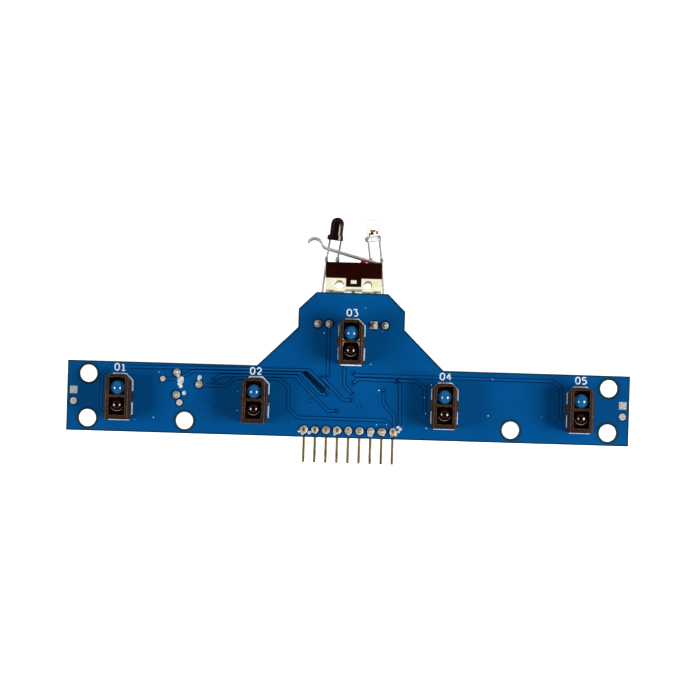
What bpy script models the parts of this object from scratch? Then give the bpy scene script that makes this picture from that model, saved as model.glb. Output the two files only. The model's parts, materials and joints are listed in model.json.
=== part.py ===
"""Five-channel line sensor board with a bump switch and a proximity pair.

The board lies on its component side with the line sensors facing up (+Z), the bump switch and the
proximity pair at the front (+Y) and the header pins at the rear (-Y). The pieces are placed in a board
frame: x and y from the middle of the long strip, z from the component face, in metres.
The ASSEMBLY empty then puts the origin at the bottom centre of the whole object.
"""

import math

import bmesh
import bpy
from mathutils import Matrix, Vector
from mathutils.geometry import tessellate_polygon

MM = 0.001

# Driving sizes of the circuit board
BOARD_LENGTH = 128.0 * MM
STRIP_DEPTH = 16.0 * MM
BOARD_THICKNESS = 1.6 * MM
NOSE_FOOT_HALF = 21.25 * MM
NOSE_HALF_WIDTH = 12.15 * MM
NOSE_TIP_HALF = 8.2 * MM
NOSE_SHOULDER_Y = 17.0 * MM
NOSE_SHOULDER_LENGTH = 4.2 * MM
NOSE_TIP_LENGTH = 3.9 * MM

# Clearances
SEAT_GAP = 0.05 * MM  # between a piece and what it stands on
FIT_GAP = 0.05 * MM  # around a piece inside a hole or a pocket

# Mounting holes
MOUNT_HOLE_DIAMETER = 4.0 * MM
END_HOLE_INSET = 4.8 * MM
HOLE_ROW_Y = 5.05 * MM
INNER_HOLE_X = 37.1 * MM
SEAT_DIAMETER = 4.9 * MM  # the bare ring around each mounting hole, where the copper stops short
SEAT_DEPTH = 0.04 * MM

# Standard pitch of leads and pins
PITCH = 2.54 * MM

PATTERN_X = 0.25 * MM  # the nose's and the soldered parts' middle line, right of the strip's

# Reflective line sensors
SENSOR_SPACING = 30.85 * MM
SENSOR_FIRST_X = 8.5 * PITCH
CENTRE_SENSOR_Y = 13.9 * MM
HOUSING_LENGTH = 10.2 * MM
HOUSING_WIDTH = 5.6 * MM
HOUSING_HEIGHT = 7.0 * MM
HOUSING_CHAMFER = 1.2 * MM
FRONT_WALL = 0.6 * MM
REAR_WALL = 1.0 * MM
SIDE_WALL = 0.95 * MM
SIDE_BEVEL = 0.35 * MM  # along the long sides' outer top edges
SIDE_BEVEL_DEPTH = 0.8 * MM
DIVIDER = 0.5 * MM
DIVIDER_Y = 0.2 * MM
LENS_RADIUS = 1.55 * MM
EMITTER_Y = 2.1 * MM
DETECTOR_Y = -1.75 * MM
LENS_DEPTH = 0.4 * MM  # from the housing's rim down to the top of the dome
DIE_BLOCK_HEIGHT = 3.6 * MM
CLIP_OFFSET = HOUSING_WIDTH / 2 - 0.4 * MM
CLIP_HEIGHT = 2.2 * MM
CLIP_RADIUS = 1.1 * MM
CLIP_PROUD = 0.65 * MM  # how far the half-round shoulder stands out of the housing's side
CLIP_LEG = 1.0 * MM
CLIP_HOOK = 0.35 * MM
CLIP_HOOK_DEPTH = 1.2 * MM
SENSOR_LEAD = 0.5 * MM
LEAD_STUB = 0.9 * MM  # how far a soldered lead stands out of the board

# Bump switch
SWITCH_LENGTH = 12.8 * MM
SWITCH_HEIGHT = 6.6 * MM
SWITCH_THICKNESS = 5.8 * MM
SWITCH_X = 0.45 * MM
SWITCH_GAP = 0.05 * MM  # between the board's front edge and the switch
SWITCH_DROOP = math.radians(6)  # the switch leans down from its soldered terminals
SWITCH_BASE_HEIGHT = 2.95 * MM
SWITCH_HOLE_DIAMETER = 2.0 * MM
SWITCH_HOLE_PITCH = 6.5 * MM
SWITCH_HOLE_Y = 1.6 * MM
SWITCH_WALL = 0.6 * MM
FOOT_NOTCH = 0.25 * MM
TAB_WIDTH = 3.4 * MM
TAB_DROP = 1.9 * MM
TAB_THICKNESS = 0.4 * MM
TAB_WINDOW = (1.4 * MM, 0.9 * MM)
TAB_WINDOW_DROP = 0.8 * MM  # from the base's top down to the middle of the tab's window
TERMINAL_WIDTH = 0.9 * MM
TERMINAL_THICKNESS = 0.5 * MM
TERMINAL_TAIL = 3.5 * MM
PLUNGER_X = 2.0 * MM
PLUNGER_WIDTH = 1.2 * MM
PLUNGER_DEPTH = 2.0 * MM
PLUNGER_FLANGE = 0.35 * MM
PIVOT_X = 5.6 * MM
PIVOT_DROP = 0.6 * MM  # below the top of the switch
TRUNNION_RADIUS = 0.3 * MM
TRUNNION_BEARING = 0.3 * MM  # how far each trunnion reaches into the cover's side wall
LEVER_THICKNESS = 0.4 * MM
LEVER_WIDTH = 3.6 * MM
LEVER_LIFT = 0.75 * MM  # from the pivot up to the lever's straight run
LEVER_REACH = 12.8 * MM
LEVER_ANGLE = math.radians(15.2)
LEVER_TRAVEL = math.radians(11)
HOOK_RISE_RADIUS = 1.4 * MM
HOOK_RISE = math.radians(58)
HOOK_RADIUS = 1.72 * MM
HOOK_ARC = math.radians(135)
BLADE_ANCHOR_X = 5.0 * MM
BLADE_HEIGHT = 1.15 * MM  # the blade's anchor above the base's top
BLADE_LENGTH = 6.0 * MM
BLADE_THICKNESS = 0.2 * MM
BLADE_WIDTH = 2.0 * MM
CONTACT_ARM = 0.3 * MM

# Proximity pair: two 3 mm lamps on bent leads
LED_RADIUS = 1.5 * MM
LED_LENGTH = 5.3 * MM
LED_FLANGE_RADIUS = 1.95 * MM
LED_FLANGE = 1.1 * MM
LED_FLAT = LED_RADIUS + 0.2 * MM  # from the axis to the flange's flat side
LED_ROW_Y = 17.9 * MM
LED_BASE_Y = 37.15 * MM
LED_LEAD = 0.5 * MM
LEAD_IN_LENS = LED_FLANGE - 0.3 * MM
LEAD_SWITCH_GAP = 0.15 * MM
LEAD_KINK_Y = 32.7 * MM
RECEIVER_X = -4.0 * MM
RECEIVER_KINK_X = -4.7 * MM
RECEIVER_YAW = math.radians(-5.4)
EMITTER_X = 4.8 * MM
EMITTER_KINK_X = 5.5 * MM
EMITTER_YAW = math.radians(8)

# Nine-way header
HEADER_WAYS = 9
HEADER_Y = -6.3 * MM
HEADER_HEIGHT = 2.54 * MM
PIN_SIZE = 0.64 * MM
PIN_REACH = 5.9 * MM  # past the board's rear edge
PIN_DROP = 3.5 * MM  # from the component face to the pins' level run

# Sensitivity trimmer
TRIMMER_X = -36.6 * MM
TRIMMER_Y = 3.3 * MM
TRIMMER_PITCH = 5.08 * MM
TRIMMER_SIZE = 7.0 * MM
TRIMMER_BODY = 2.6 * MM
TRIMMER_STANDOFF = 0.6 * MM
ROTOR_RADIUS = 2.4 * MM
ROTOR_HEIGHT = 2.4 * MM
ROTOR_SLOT = 0.8 * MM

# Parts on the component face
IC_SIZE = (8.65 * MM, 3.9 * MM, 1.45 * MM)
IC_PLACE = (1.0 * MM, 3.6 * MM)
IC_PINS_PER_SIDE = 7
IC_PITCH = 1.27 * MM
IC_LEAD_SPAN = 6.0 * MM
CHIP_LENGTH = 2.0 * MM
CHIP_WIDTH = 1.25 * MM
CHIP_CAP = 0.4 * MM
INDICATOR_Y = 6.6 * MM
RESISTOR_OFFSET = 6.2 * MM
CAPACITOR_PLACE = (14.5 * MM, -5.0 * MM)

HOLE_CLEARANCE = 0.2 * MM  # a plated hole is this much wider than its lead all round
SMALL_HOLE_SEGMENTS = 8
LARGE_HOLE_SEGMENTS = 24
ROUND_SEGMENTS = 20

# Levels and places that follow from the sizes
SENSOR_FACE = BOARD_THICKNESS
FRONT_EDGE = NOSE_SHOULDER_Y + NOSE_SHOULDER_LENGTH + NOSE_TIP_LENGTH
REAR_EDGE = -STRIP_DEPTH / 2
SWITCH_Y = FRONT_EDGE + SWITCH_GAP
SWITCH_Z = -SEAT_GAP - TERMINAL_THICKNESS / 2
SWITCH_LOW = (
    SWITCH_Z - SWITCH_HEIGHT * math.sin(SWITCH_DROOP) - SWITCH_THICKNESS / 2 * math.cos(SWITCH_DROOP)
)
LEAD_Z = SWITCH_LOW - LEAD_SWITCH_GAP - LED_LEAD / 2
LOWEST_Z = LEAD_Z - LED_FLANGE_RADIUS
PIN_TIP_Y = REAR_EDGE - PIN_REACH
LED_TIP_Y = LED_BASE_Y + (LED_LENGTH - LED_RADIUS) * math.cos(RECEIVER_YAW) + LED_RADIUS
PIVOT_Y = SWITCH_HEIGHT - PIVOT_DROP
TRUNNION_HALF = SWITCH_THICKNESS / 2 - SWITCH_WALL + TRUNNION_BEARING

BOARD_BLUE = (0.0, 0.08, 0.27)
CREAM = (0.85, 0.82, 0.62)
BLACK = (0.01, 0.008, 0.007)
DARK_BROWN = (0.03, 0.015, 0.01)
EMITTER_BLUE = (0.02, 0.2, 0.6)
RED = (0.6, 0.02, 0.02)
STEEL = (0.55, 0.54, 0.52)
BRASS = (0.6, 0.5, 0.3)
CLEAR = (0.9, 0.92, 0.95)
WHITE = (0.8, 0.8, 0.78)


def clear_scene():
    for obj in list(bpy.data.objects):
        bpy.data.objects.remove(obj)


def material(name, colour, roughness=0.5, metallic=0.0):
    """A plain Principled material, made once for each name."""
    found = bpy.data.materials.get(name)
    if found:
        return found
    made = bpy.data.materials.new(name)
    made.use_nodes = True
    shader = made.node_tree.nodes["Principled BSDF"]
    shader.inputs["Base Color"].default_value = (*colour, 1.0)
    shader.inputs["Roughness"].default_value = roughness
    shader.inputs["Metallic"].default_value = metallic
    return made


def mesh_object(name, mesh_data, finish=None, parent=None):
    """Links a bmesh as an object, with its faces pointing out."""
    bmesh.ops.recalc_face_normals(mesh_data, faces=mesh_data.faces)
    mesh = bpy.data.meshes.new(name)
    mesh_data.to_mesh(mesh)
    mesh_data.free()
    obj = bpy.data.objects.new(name, mesh)
    bpy.context.scene.collection.objects.link(obj)
    if finish:
        mesh.materials.append(finish)
    obj.parent = parent
    return obj


def cap(made, loops, level):
    """Fills an outline and its holes with triangles at one level, and returns each loop's vertices."""
    flat = [[Vector((*point, level)) for point in loop] for loop in loops]
    rings = [[made.verts.new(p) for p in loop] for loop in flat]
    corners = [v for ring in rings for v in ring]
    for triangle in tessellate_polygon(flat):
        made.faces.new([corners[i] for i in triangle])
    return rings


def bridge(made, ring, other):
    """Joins two loops of the same number of vertices with a band of faces."""
    for i in range(len(ring)):
        j = (i + 1) % len(ring)
        made.faces.new([ring[i], ring[j], other[j], other[i]])


def prism(outline, holes=(), low=0.0, high=1.0, turn=None):
    """A bmesh of a flat outline with holes, raised from low to high along Z, then turned by a matrix."""
    made = bmesh.new()
    for ring, other in zip(cap(made, (outline, *holes), low), cap(made, (outline, *holes), high)):
        bridge(made, ring, other)
    if turn:
        made.transform(turn)
    return made


def rectangle(width, depth, centre=(0, 0)):
    x, y = centre
    w, d = width / 2, depth / 2
    return [(x - w, y - d), (x + w, y - d), (x + w, y + d), (x - w, y + d)]


def circle(radius, centre=(0, 0), segments=ROUND_SEGMENTS, start=0.0):
    x, y = centre
    return [
        (
            x + radius * math.cos(start + 2 * math.pi * i / segments),
            y + radius * math.sin(start + 2 * math.pi * i / segments),
        )
        for i in range(segments)
    ]


def box(low, high):
    """A bmesh box between two corners."""
    centre = ((low[0] + high[0]) / 2, (low[1] + high[1]) / 2)
    return prism(rectangle(high[0] - low[0], high[1] - low[1], centre), low=low[2], high=high[2])


def turned(profile, segments=ROUND_SEGMENTS):
    """A bmesh turned about Z from (radius, height) points, which start and end on the axis."""
    made = bmesh.new()
    rings = []
    for radius, height in profile:
        if radius == 0:
            rings.append([made.verts.new((0, 0, height))])
        else:
            rings.append([made.verts.new((x, y, height)) for x, y in circle(radius, segments=segments)])
    for lower, upper in zip(rings, rings[1:]):
        for i in range(segments):
            j = (i + 1) % segments
            corners = [lower[i % len(lower)], lower[j % len(lower)]]
            corners += [upper[j % len(upper)], upper[i % len(upper)]]
            made.faces.new(list(dict.fromkeys(corners)))
    return made


def rounded_path(points, radius, steps=3):
    """The polyline with each inner corner replaced by an arc."""
    points = [Vector(p) for p in points]
    path = [points[0]]
    for before, corner, after in zip(points, points[1:], points[2:]):
        back = (before - corner).normalized()
        ahead = (after - corner).normalized()
        angle = back.angle(ahead)
        reach = radius / math.tan(angle / 2)
        centre = corner + (back + ahead).normalized() * radius / math.sin(angle / 2)
        first = corner + back * reach - centre
        last = corner + ahead * reach - centre
        for i in range(steps + 1):
            path.append(centre + first.slerp(last, i / steps) * radius)
    path.append(points[-1])
    return path


def swept_bar(points, width, thickness, side):
    """A bmesh bar of rectangular section along a polyline, mitred at its corners.

    side is the direction across the first stretch that the width is measured along.
    """
    ahead = (points[1] - points[0]).normalized()
    across = Vector(side).normalized() * width / 2
    up = ahead.cross(across).normalized() * thickness / 2
    corners = [points[0] + across * a + up * b for a, b in ((-1, -1), (1, -1), (1, 1), (-1, 1))]
    made = bmesh.new()
    sections = [[made.verts.new(c) for c in corners]]
    for i in range(1, len(points)):
        ahead = (points[i] - points[i - 1]).normalized()
        if i + 1 < len(points):
            normal = (ahead + (points[i + 1] - points[i]).normalized()).normalized()
        else:
            normal = ahead
        corners = [c + ahead * (points[i] - c).dot(normal) / ahead.dot(normal) for c in corners]
        sections.append([made.verts.new(c) for c in corners])
    for first, second in zip(sections, sections[1:]):
        for i in range(4):
            j = (i + 1) % 4
            made.faces.new([first[i], first[j], second[j], second[i]])
    made.faces.new(sections[0])
    made.faces.new(sections[-1])
    return made


def helper(obj):
    """Keeps an object that only shapes another one out of the model."""
    obj.hide_render = True
    obj.display_type = "WIRE"
    return obj


def combine(obj, shapes, operation):
    """Cuts or joins bmesh shapes, given in obj's own frame, with Boolean modifiers."""
    for shape in shapes:
        tool = helper(mesh_object(obj.name + "_tool", shape))
        tool.parent = obj
        modifier = obj.modifiers.new(operation.lower(), "BOOLEAN")
        modifier.operation = operation
        modifier.object = tool
        modifier.solver = "EXACT"
    return obj


def cut(obj, *shapes):
    return combine(obj, shapes, "DIFFERENCE")


def join(obj, *shapes):
    return combine(obj, shapes, "UNION")


def smooth(obj):
    obj.data.shade_smooth()
    obj.data.set_sharp_from_angle(angle=math.radians(35))
    return obj


def sensor_places():
    """The five sensors' middles, from the left end of the board to the right."""
    outer = SENSOR_FIRST_X + SENSOR_SPACING
    row = [(-outer, 0), (-SENSOR_FIRST_X, 0), (0, CENTRE_SENSOR_Y), (SENSOR_FIRST_X, 0), (outer, 0)]
    return [(PATTERN_X + x, y) for x, y in row]


def sensor_lead_places():
    """Where the four leads of one sensor are, from its middle."""
    return [(x, y) for y in (EMITTER_Y, DETECTOR_Y) for x in (-PITCH / 2, PITCH / 2)]


def header_xs():
    first = PATTERN_X - (HEADER_WAYS - 1) / 2 * PITCH
    return [first + i * PITCH for i in range(HEADER_WAYS)]


def led_lead_xs():
    """The four holes of the proximity pair, from left to right."""
    return [PATTERN_X + i * PITCH for i in (-3, -2, 2, 3)]


def trimmer_pin_places():
    half = TRIMMER_PITCH / 2
    return [
        (TRIMMER_X - half, TRIMMER_Y + half),
        (TRIMMER_X - half, TRIMMER_Y - half),
        (TRIMMER_X + half, TRIMMER_Y),
    ]


def mount_hole_places():
    end = BOARD_LENGTH / 2 - END_HOLE_INSET
    corners = [(x, y) for x in (-end, end) for y in (HOLE_ROW_Y, -HOLE_ROW_Y)]
    return corners + [(-INNER_HOLE_X, -HOLE_ROW_Y), (INNER_HOLE_X, -HOLE_ROW_Y)]


def board_outline():
    half = BOARD_LENGTH / 2
    nose = [
        (NOSE_FOOT_HALF, -REAR_EDGE),
        (NOSE_HALF_WIDTH, NOSE_SHOULDER_Y),
        (NOSE_HALF_WIDTH, NOSE_SHOULDER_Y + NOSE_SHOULDER_LENGTH),
        (NOSE_TIP_HALF, FRONT_EDGE),
    ]
    right = [(PATTERN_X + x, y) for x, y in nose]
    left = [(PATTERN_X - x, y) for x, y in reversed(nose)]
    return [(half, REAR_EDGE), (half, -REAR_EDGE), *right, *left, (-half, -REAR_EDGE), (-half, REAR_EDGE)]


def lead_hole(lead_size, centre):
    """A drilled hole that a square lead passes through with clearance at its corners."""
    radius = lead_size / math.sqrt(2) + HOLE_CLEARANCE
    return circle(radius, centre, SMALL_HOLE_SEGMENTS, math.pi / SMALL_HOLE_SEGMENTS)


def drilled_holes():
    """The holes that leads, pins and clips pass through."""
    holes = []
    clip_hole = math.hypot(CLIP_LEG / 2 + CLIP_HOOK, CLIP_LEG / 2) + FIT_GAP
    for x, y in sensor_places():
        holes += [lead_hole(SENSOR_LEAD, (x + a, y + b)) for a, b in sensor_lead_places()]
        holes += [circle(clip_hole, (x + s * CLIP_OFFSET, y), 12) for s in (-1, 1)]
    holes += [lead_hole(PIN_SIZE, (x, HEADER_Y)) for x in header_xs()]
    holes += [lead_hole(LED_LEAD, (x, LED_ROW_Y)) for x in led_lead_xs()]
    holes += [lead_hole(LED_LEAD, p) for p in trimmer_pin_places()]
    return holes


def circuit_board(assembly):
    """The bare board. On its component face a shallow ring is sunk around each mounting hole."""
    made = bmesh.new()
    through = [board_outline(), *drilled_holes()]
    mounts = [circle(MOUNT_HOLE_DIAMETER / 2, p, LARGE_HOLE_SEGMENTS) for p in mount_hole_places()]
    seats = [circle(SEAT_DIAMETER / 2, p, LARGE_HOLE_SEGMENTS) for p in mount_hole_places()]
    below = cap(made, through + seats, 0)
    above = cap(made, through + mounts, BOARD_THICKNESS)
    count = len(through)
    for ring, other in zip(below[:count], above[:count]):
        bridge(made, ring, other)
    for seat, mount, rim, mouth in zip(seats, mounts, below[count:], above[count:]):
        edge = [made.verts.new((*point, SEAT_DEPTH)) for point in seat]
        bore = [made.verts.new((*point, SEAT_DEPTH)) for point in mount]
        bridge(made, rim, edge)
        bridge(made, edge, bore)
        bridge(made, bore, mouth)
    return mesh_object("circuit_board", made, material("board_blue", BOARD_BLUE, 0.4), assembly)


def housing_clip(side):
    """One snap clip: a half-round shoulder on the board and a hooked leg through it."""
    x = side * CLIP_OFFSET
    wall = HOUSING_WIDTH / 2 - SIDE_WALL / 2
    centre = HOUSING_WIDTH / 2 + CLIP_PROUD - CLIP_RADIUS
    spread = math.acos((wall - centre) / CLIP_RADIUS)
    angles = [spread * (i / 4 - 1) for i in range(9)]
    arc = [(side * (centre + CLIP_RADIUS * math.cos(a)), CLIP_RADIUS * math.sin(a)) for a in angles]
    shoulder = prism(arc, low=SEAT_GAP, high=CLIP_HEIGHT)
    half = CLIP_LEG / 2
    below = -BOARD_THICKNESS - SEAT_GAP
    leg = [
        (-half, CLIP_HEIGHT / 2),
        (half, CLIP_HEIGHT / 2),
        (half, below),
        (half + CLIP_HOOK, below),
        (half - CLIP_HOOK, below - CLIP_HOOK_DEPTH),
        (-half, below - CLIP_HOOK_DEPTH),
    ]
    along_y = Matrix(((side, 0, 0, x), (0, 0, 1, 0), (0, 1, 0, 0), (0, 0, 0, 1)))
    return shoulder, prism(leg, low=-half, high=half, turn=along_y)


def sensor(number, place, assembly):
    """One reflective sensor: black housing, blue infrared emitter and dark detector."""
    centre = bpy.data.objects.new(f"sensor_{number}", None)
    bpy.context.scene.collection.objects.link(centre)
    centre.parent = assembly
    centre.location = (*place, SENSOR_FACE)

    half_x, half_y, chamfer = HOUSING_WIDTH / 2, HOUSING_LENGTH / 2, HOUSING_CHAMFER
    outline = [
        (-half_x, -half_y),
        (half_x, -half_y),
        (half_x, half_y - chamfer),
        (half_x - chamfer, half_y),
        (-half_x + chamfer, half_y),
        (-half_x, half_y - chamfer),
    ]
    window_width = HOUSING_WIDTH - 2 * SIDE_WALL
    # Each window as its rear and front ends
    front = (DIVIDER_Y + DIVIDER / 2, half_y - FRONT_WALL)
    rear = (-half_y + REAR_WALL, DIVIDER_Y - DIVIDER / 2)
    windows = [rectangle(window_width, b - a, (0, (a + b) / 2)) for a, b in (front, rear)]
    housing = mesh_object(
        f"sensor_{number}_housing",
        prism(outline, windows, SEAT_GAP, HOUSING_HEIGHT),
        material("sensor_black", DARK_BROWN, 0.45),
        centre,
    )
    for side in (-1, 1):
        join(housing, *housing_clip(side))
        bevel = [
            (side * half_x, HOUSING_HEIGHT - SIDE_BEVEL_DEPTH),
            (side * (half_x + SIDE_BEVEL), HOUSING_HEIGHT - SIDE_BEVEL_DEPTH),
            (side * (half_x + SIDE_BEVEL), HOUSING_HEIGHT + SIDE_BEVEL),
            (side * (half_x - SIDE_BEVEL), HOUSING_HEIGHT + SIDE_BEVEL),
            (side * (half_x - SIDE_BEVEL), HOUSING_HEIGHT),
        ]
        along_y = Matrix(((1, 0, 0, 0), (0, 0, 1, 0), (0, 1, 0, 0), (0, 0, 0, 1)))
        cut(housing, prism(bevel, low=-HOUSING_LENGTH, high=HOUSING_LENGTH, turn=along_y))

    for kind, lens_y, (low_y, high_y), colour in (
        ("emitter", EMITTER_Y, front, EMITTER_BLUE),
        ("detector", DETECTOR_Y, rear, BLACK),
    ):
        block = rectangle(
            window_width - 2 * FIT_GAP, high_y - low_y - 2 * FIT_GAP, (0, (low_y + high_y) / 2)
        )
        body = mesh_object(
            f"sensor_{number}_{kind}",
            prism(block, low=SEAT_GAP, high=DIE_BLOCK_HEIGHT),
            material(kind, colour, 0.15),
            centre,
        )
        top = HOUSING_HEIGHT - LENS_DEPTH
        dome = [(0, DIE_BLOCK_HEIGHT / 2), (LENS_RADIUS, DIE_BLOCK_HEIGHT / 2)]
        dome += dome_profile(LENS_RADIUS, top, 4)
        lens = turned(dome, 16)
        lens.transform(Matrix.Translation((0, lens_y, 0)))
        leads = []
        for x in (-PITCH / 2, PITCH / 2):
            bottom = -BOARD_THICKNESS - LEAD_STUB
            half = SENSOR_LEAD / 2
            leads.append(
                box((x - half, lens_y - half, bottom), (x + half, lens_y + half, DIE_BLOCK_HEIGHT / 2))
            )
        join(body, lens, *leads)


def dome_profile(radius, top, steps):
    """Half-round points from a cylinder's side up to the axis at height top."""
    return [
        (radius * math.cos(a), top - radius + radius * math.sin(a))
        for a in (math.pi / 2 * i / steps for i in range(steps))
    ] + [(0, top)]


def bump_switch(assembly):
    """The lever switch. Its own frame has x from its middle, y from its base and z from mid-thickness."""
    switch = bpy.data.objects.new("bump_switch", None)
    bpy.context.scene.collection.objects.link(switch)
    switch.parent = assembly
    switch.location = (SWITCH_X, SWITCH_Y, SWITCH_Z)
    switch.rotation_euler = (-SWITCH_DROOP, 0, 0)
    switch_base(switch)
    switch_cover(switch)
    switch_plunger(switch)
    switch_contacts(switch)
    switch_lever(switch)


def terminal_xs():
    return [-2 * PITCH, 0.0, 2 * PITCH]


def tab_outline(low, high, grow=0.0):
    """The cover's side tab, or with grow its pocket in the base."""
    return rectangle(TAB_WIDTH + 2 * grow, high - low, (0, (low + high) / 2))


def tab_window(shrink=0.0):
    width, height = (size - 2 * shrink for size in TAB_WINDOW)
    return rectangle(width, height, (0, SWITCH_BASE_HEIGHT - TAB_WINDOW_DROP))


def switch_base(switch):
    half, deep = SWITCH_LENGTH / 2, SWITCH_THICKNESS / 2
    inner, outer = half * 0.32, half * 0.68
    feet = [(inner, 2 * FOOT_NOTCH), (inner, 0), (outer, 0), (outer, FOOT_NOTCH), (half, FOOT_NOTCH)]
    right = feet + [(half, SWITCH_BASE_HEIGHT)]
    outline = right + [(-x, y) for x, y in reversed(right)]
    holes = [
        circle(SWITCH_HOLE_DIAMETER / 2, (s * SWITCH_HOLE_PITCH / 2, SWITCH_HOLE_Y), 20)
        for s in (-1, 1)
    ]
    shape = prism(outline, holes, -deep, deep)
    base = mesh_object("switch_base", shape, material("cream", CREAM, 0.5), switch)
    pocket = tab_outline(SWITCH_BASE_HEIGHT - TAB_DROP - FIT_GAP, SWITCH_BASE_HEIGHT + MM, FIT_GAP)
    over_nub = rectangle(TAB_WIDTH, 2 * TAB_WINDOW[1], (0, SWITCH_BASE_HEIGHT - TAB_WINDOW_DROP))
    for side in (-1, 1):
        near, far = sorted((side * (deep - TAB_THICKNESS - FIT_GAP), side * (deep + MM)))
        # The latch nub is left standing in the pocket, a little lower than the tab's face
        cut(base, prism(pocket, [tab_window(FIT_GAP)], near, far))
        near, far = sorted((side * (deep - FIT_GAP), side * (deep + MM)))
        cut(base, prism(over_nub, low=near, high=far))
    for x in terminal_xs():
        slot_x, slot_z = TERMINAL_WIDTH / 2 + FIT_GAP, TERMINAL_THICKNESS / 2 + FIT_GAP
        cut(base, box((x - slot_x, -MM, -slot_z), (x + slot_x, SWITCH_BASE_HEIGHT + MM, slot_z)))
    return base


def switch_cover(switch):
    half, deep = SWITCH_LENGTH / 2, SWITCH_THICKNESS / 2
    low, top = SWITCH_BASE_HEIGHT + SEAT_GAP, SWITCH_HEIGHT
    wall = SWITCH_WALL
    shape = box((-half, low, -deep), (half, top, deep))
    cover = mesh_object("switch_cover", shape, material("black", BLACK, 0.4), switch)
    cut(cover, box((-half + wall, low - MM, -deep + wall), (half - wall, top - wall, deep - wall)))
    for side in (-1, 1):
        inner, outer = sorted((side * (deep - TAB_THICKNESS), side * deep))
        tab = tab_outline(SWITCH_BASE_HEIGHT - TAB_DROP, low + wall)
        join(cover, prism(tab, [tab_window()], inner, outer))
    gap, deep_gap = PLUNGER_WIDTH / 2 + FIT_GAP, PLUNGER_DEPTH / 2 + FIT_GAP
    cut(
        cover,
        box((PLUNGER_X - gap, top - 2 * wall, -deep_gap), (PLUNGER_X + gap, top + MM, deep_gap)),
    )
    # The slot for the lever's root, open at the right end, and the bearings beside it
    slot = LEVER_WIDTH / 2 + FIT_GAP
    floor = PIVOT_Y - TRUNNION_RADIUS - 2 * FIT_GAP
    cut(cover, box((PIVOT_X - slot_reach(), floor, -slot), (half + MM, top + MM, slot)))
    bore = circle(TRUNNION_RADIUS + FIT_GAP, (PIVOT_X, PIVOT_Y), 16)
    reach = TRUNNION_HALF + FIT_GAP
    cut(cover, prism(bore, low=-reach, high=reach))
    return cover


def slot_reach():
    """How far left of the pivot the slot reaches, so that the pressed lever clears the cover."""
    pressed = LEVER_ANGLE - LEVER_TRAVEL
    clear = (PIVOT_DROP + FIT_GAP) * math.cos(pressed) - (LEVER_LIFT - LEVER_THICKNESS / 2)
    return max(clear / math.sin(pressed), TRUNNION_RADIUS + FIT_GAP) + FIT_GAP


def crown_level(angle):
    """Height of the middle of the plunger's round top, where it all but touches the lever at this angle."""
    arm = PIVOT_X - PLUNGER_X
    under = LEVER_LIFT - LEVER_THICKNESS / 2 - FIT_GAP - PLUNGER_WIDTH / 2
    return PIVOT_Y + (under + arm * math.sin(angle)) / math.cos(angle)


def plunger_travel():
    return crown_level(LEVER_ANGLE) - crown_level(LEVER_ANGLE - LEVER_TRAVEL)


def blade_angle():
    """Half of the angle that the contact blade rocks through."""
    return math.atan(plunger_travel() / 2 / (BLADE_ANCHOR_X - PLUNGER_X))


def blade_level():
    return SWITCH_BASE_HEIGHT + BLADE_HEIGHT


def switch_plunger(switch):
    radius, deep = PLUNGER_WIDTH / 2, PLUNGER_DEPTH / 2
    crown = crown_level(LEVER_ANGLE)
    arm = BLADE_ANCHOR_X - PLUNGER_X
    blade_top = blade_level() + arm * math.tan(blade_angle()) + BLADE_THICKNESS / 2
    foot = blade_top + radius * math.tan(blade_angle()) + FIT_GAP
    arc = [
        (PLUNGER_X + radius * math.cos(a), crown + radius * math.sin(a))
        for a in (math.pi * i / 8 for i in range(9))
    ]
    outline = [(PLUNGER_X - radius, foot), (PLUNGER_X + radius, foot)] + arc
    shape = prism(outline, low=-deep, high=deep)
    plunger = mesh_object("switch_plunger", shape, material("red", RED, 0.35), switch)
    top = SWITCH_HEIGHT - SWITCH_WALL - FIT_GAP
    wide = radius + PLUNGER_FLANGE
    join(plunger, box((PLUNGER_X - wide, top - 0.5 * MM, -deep), (PLUNGER_X + wide, top, deep)))
    return plunger


def switch_terminal(name, x, top, switch):
    """A flat terminal up through the base, whose tail bends back to lie along the board."""
    tail = Vector((0, -math.cos(SWITCH_DROOP), -math.sin(SWITCH_DROOP))) * TERMINAL_TAIL
    foot = Vector((x, 0, 0))
    bar = swept_bar([Vector((x, top, 0)), foot, foot + tail], TERMINAL_WIDTH, TERMINAL_THICKNESS, (1, 0, 0))
    return mesh_object(name, bar, material("steel", STEEL, 0.3, 1.0), switch)


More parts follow.
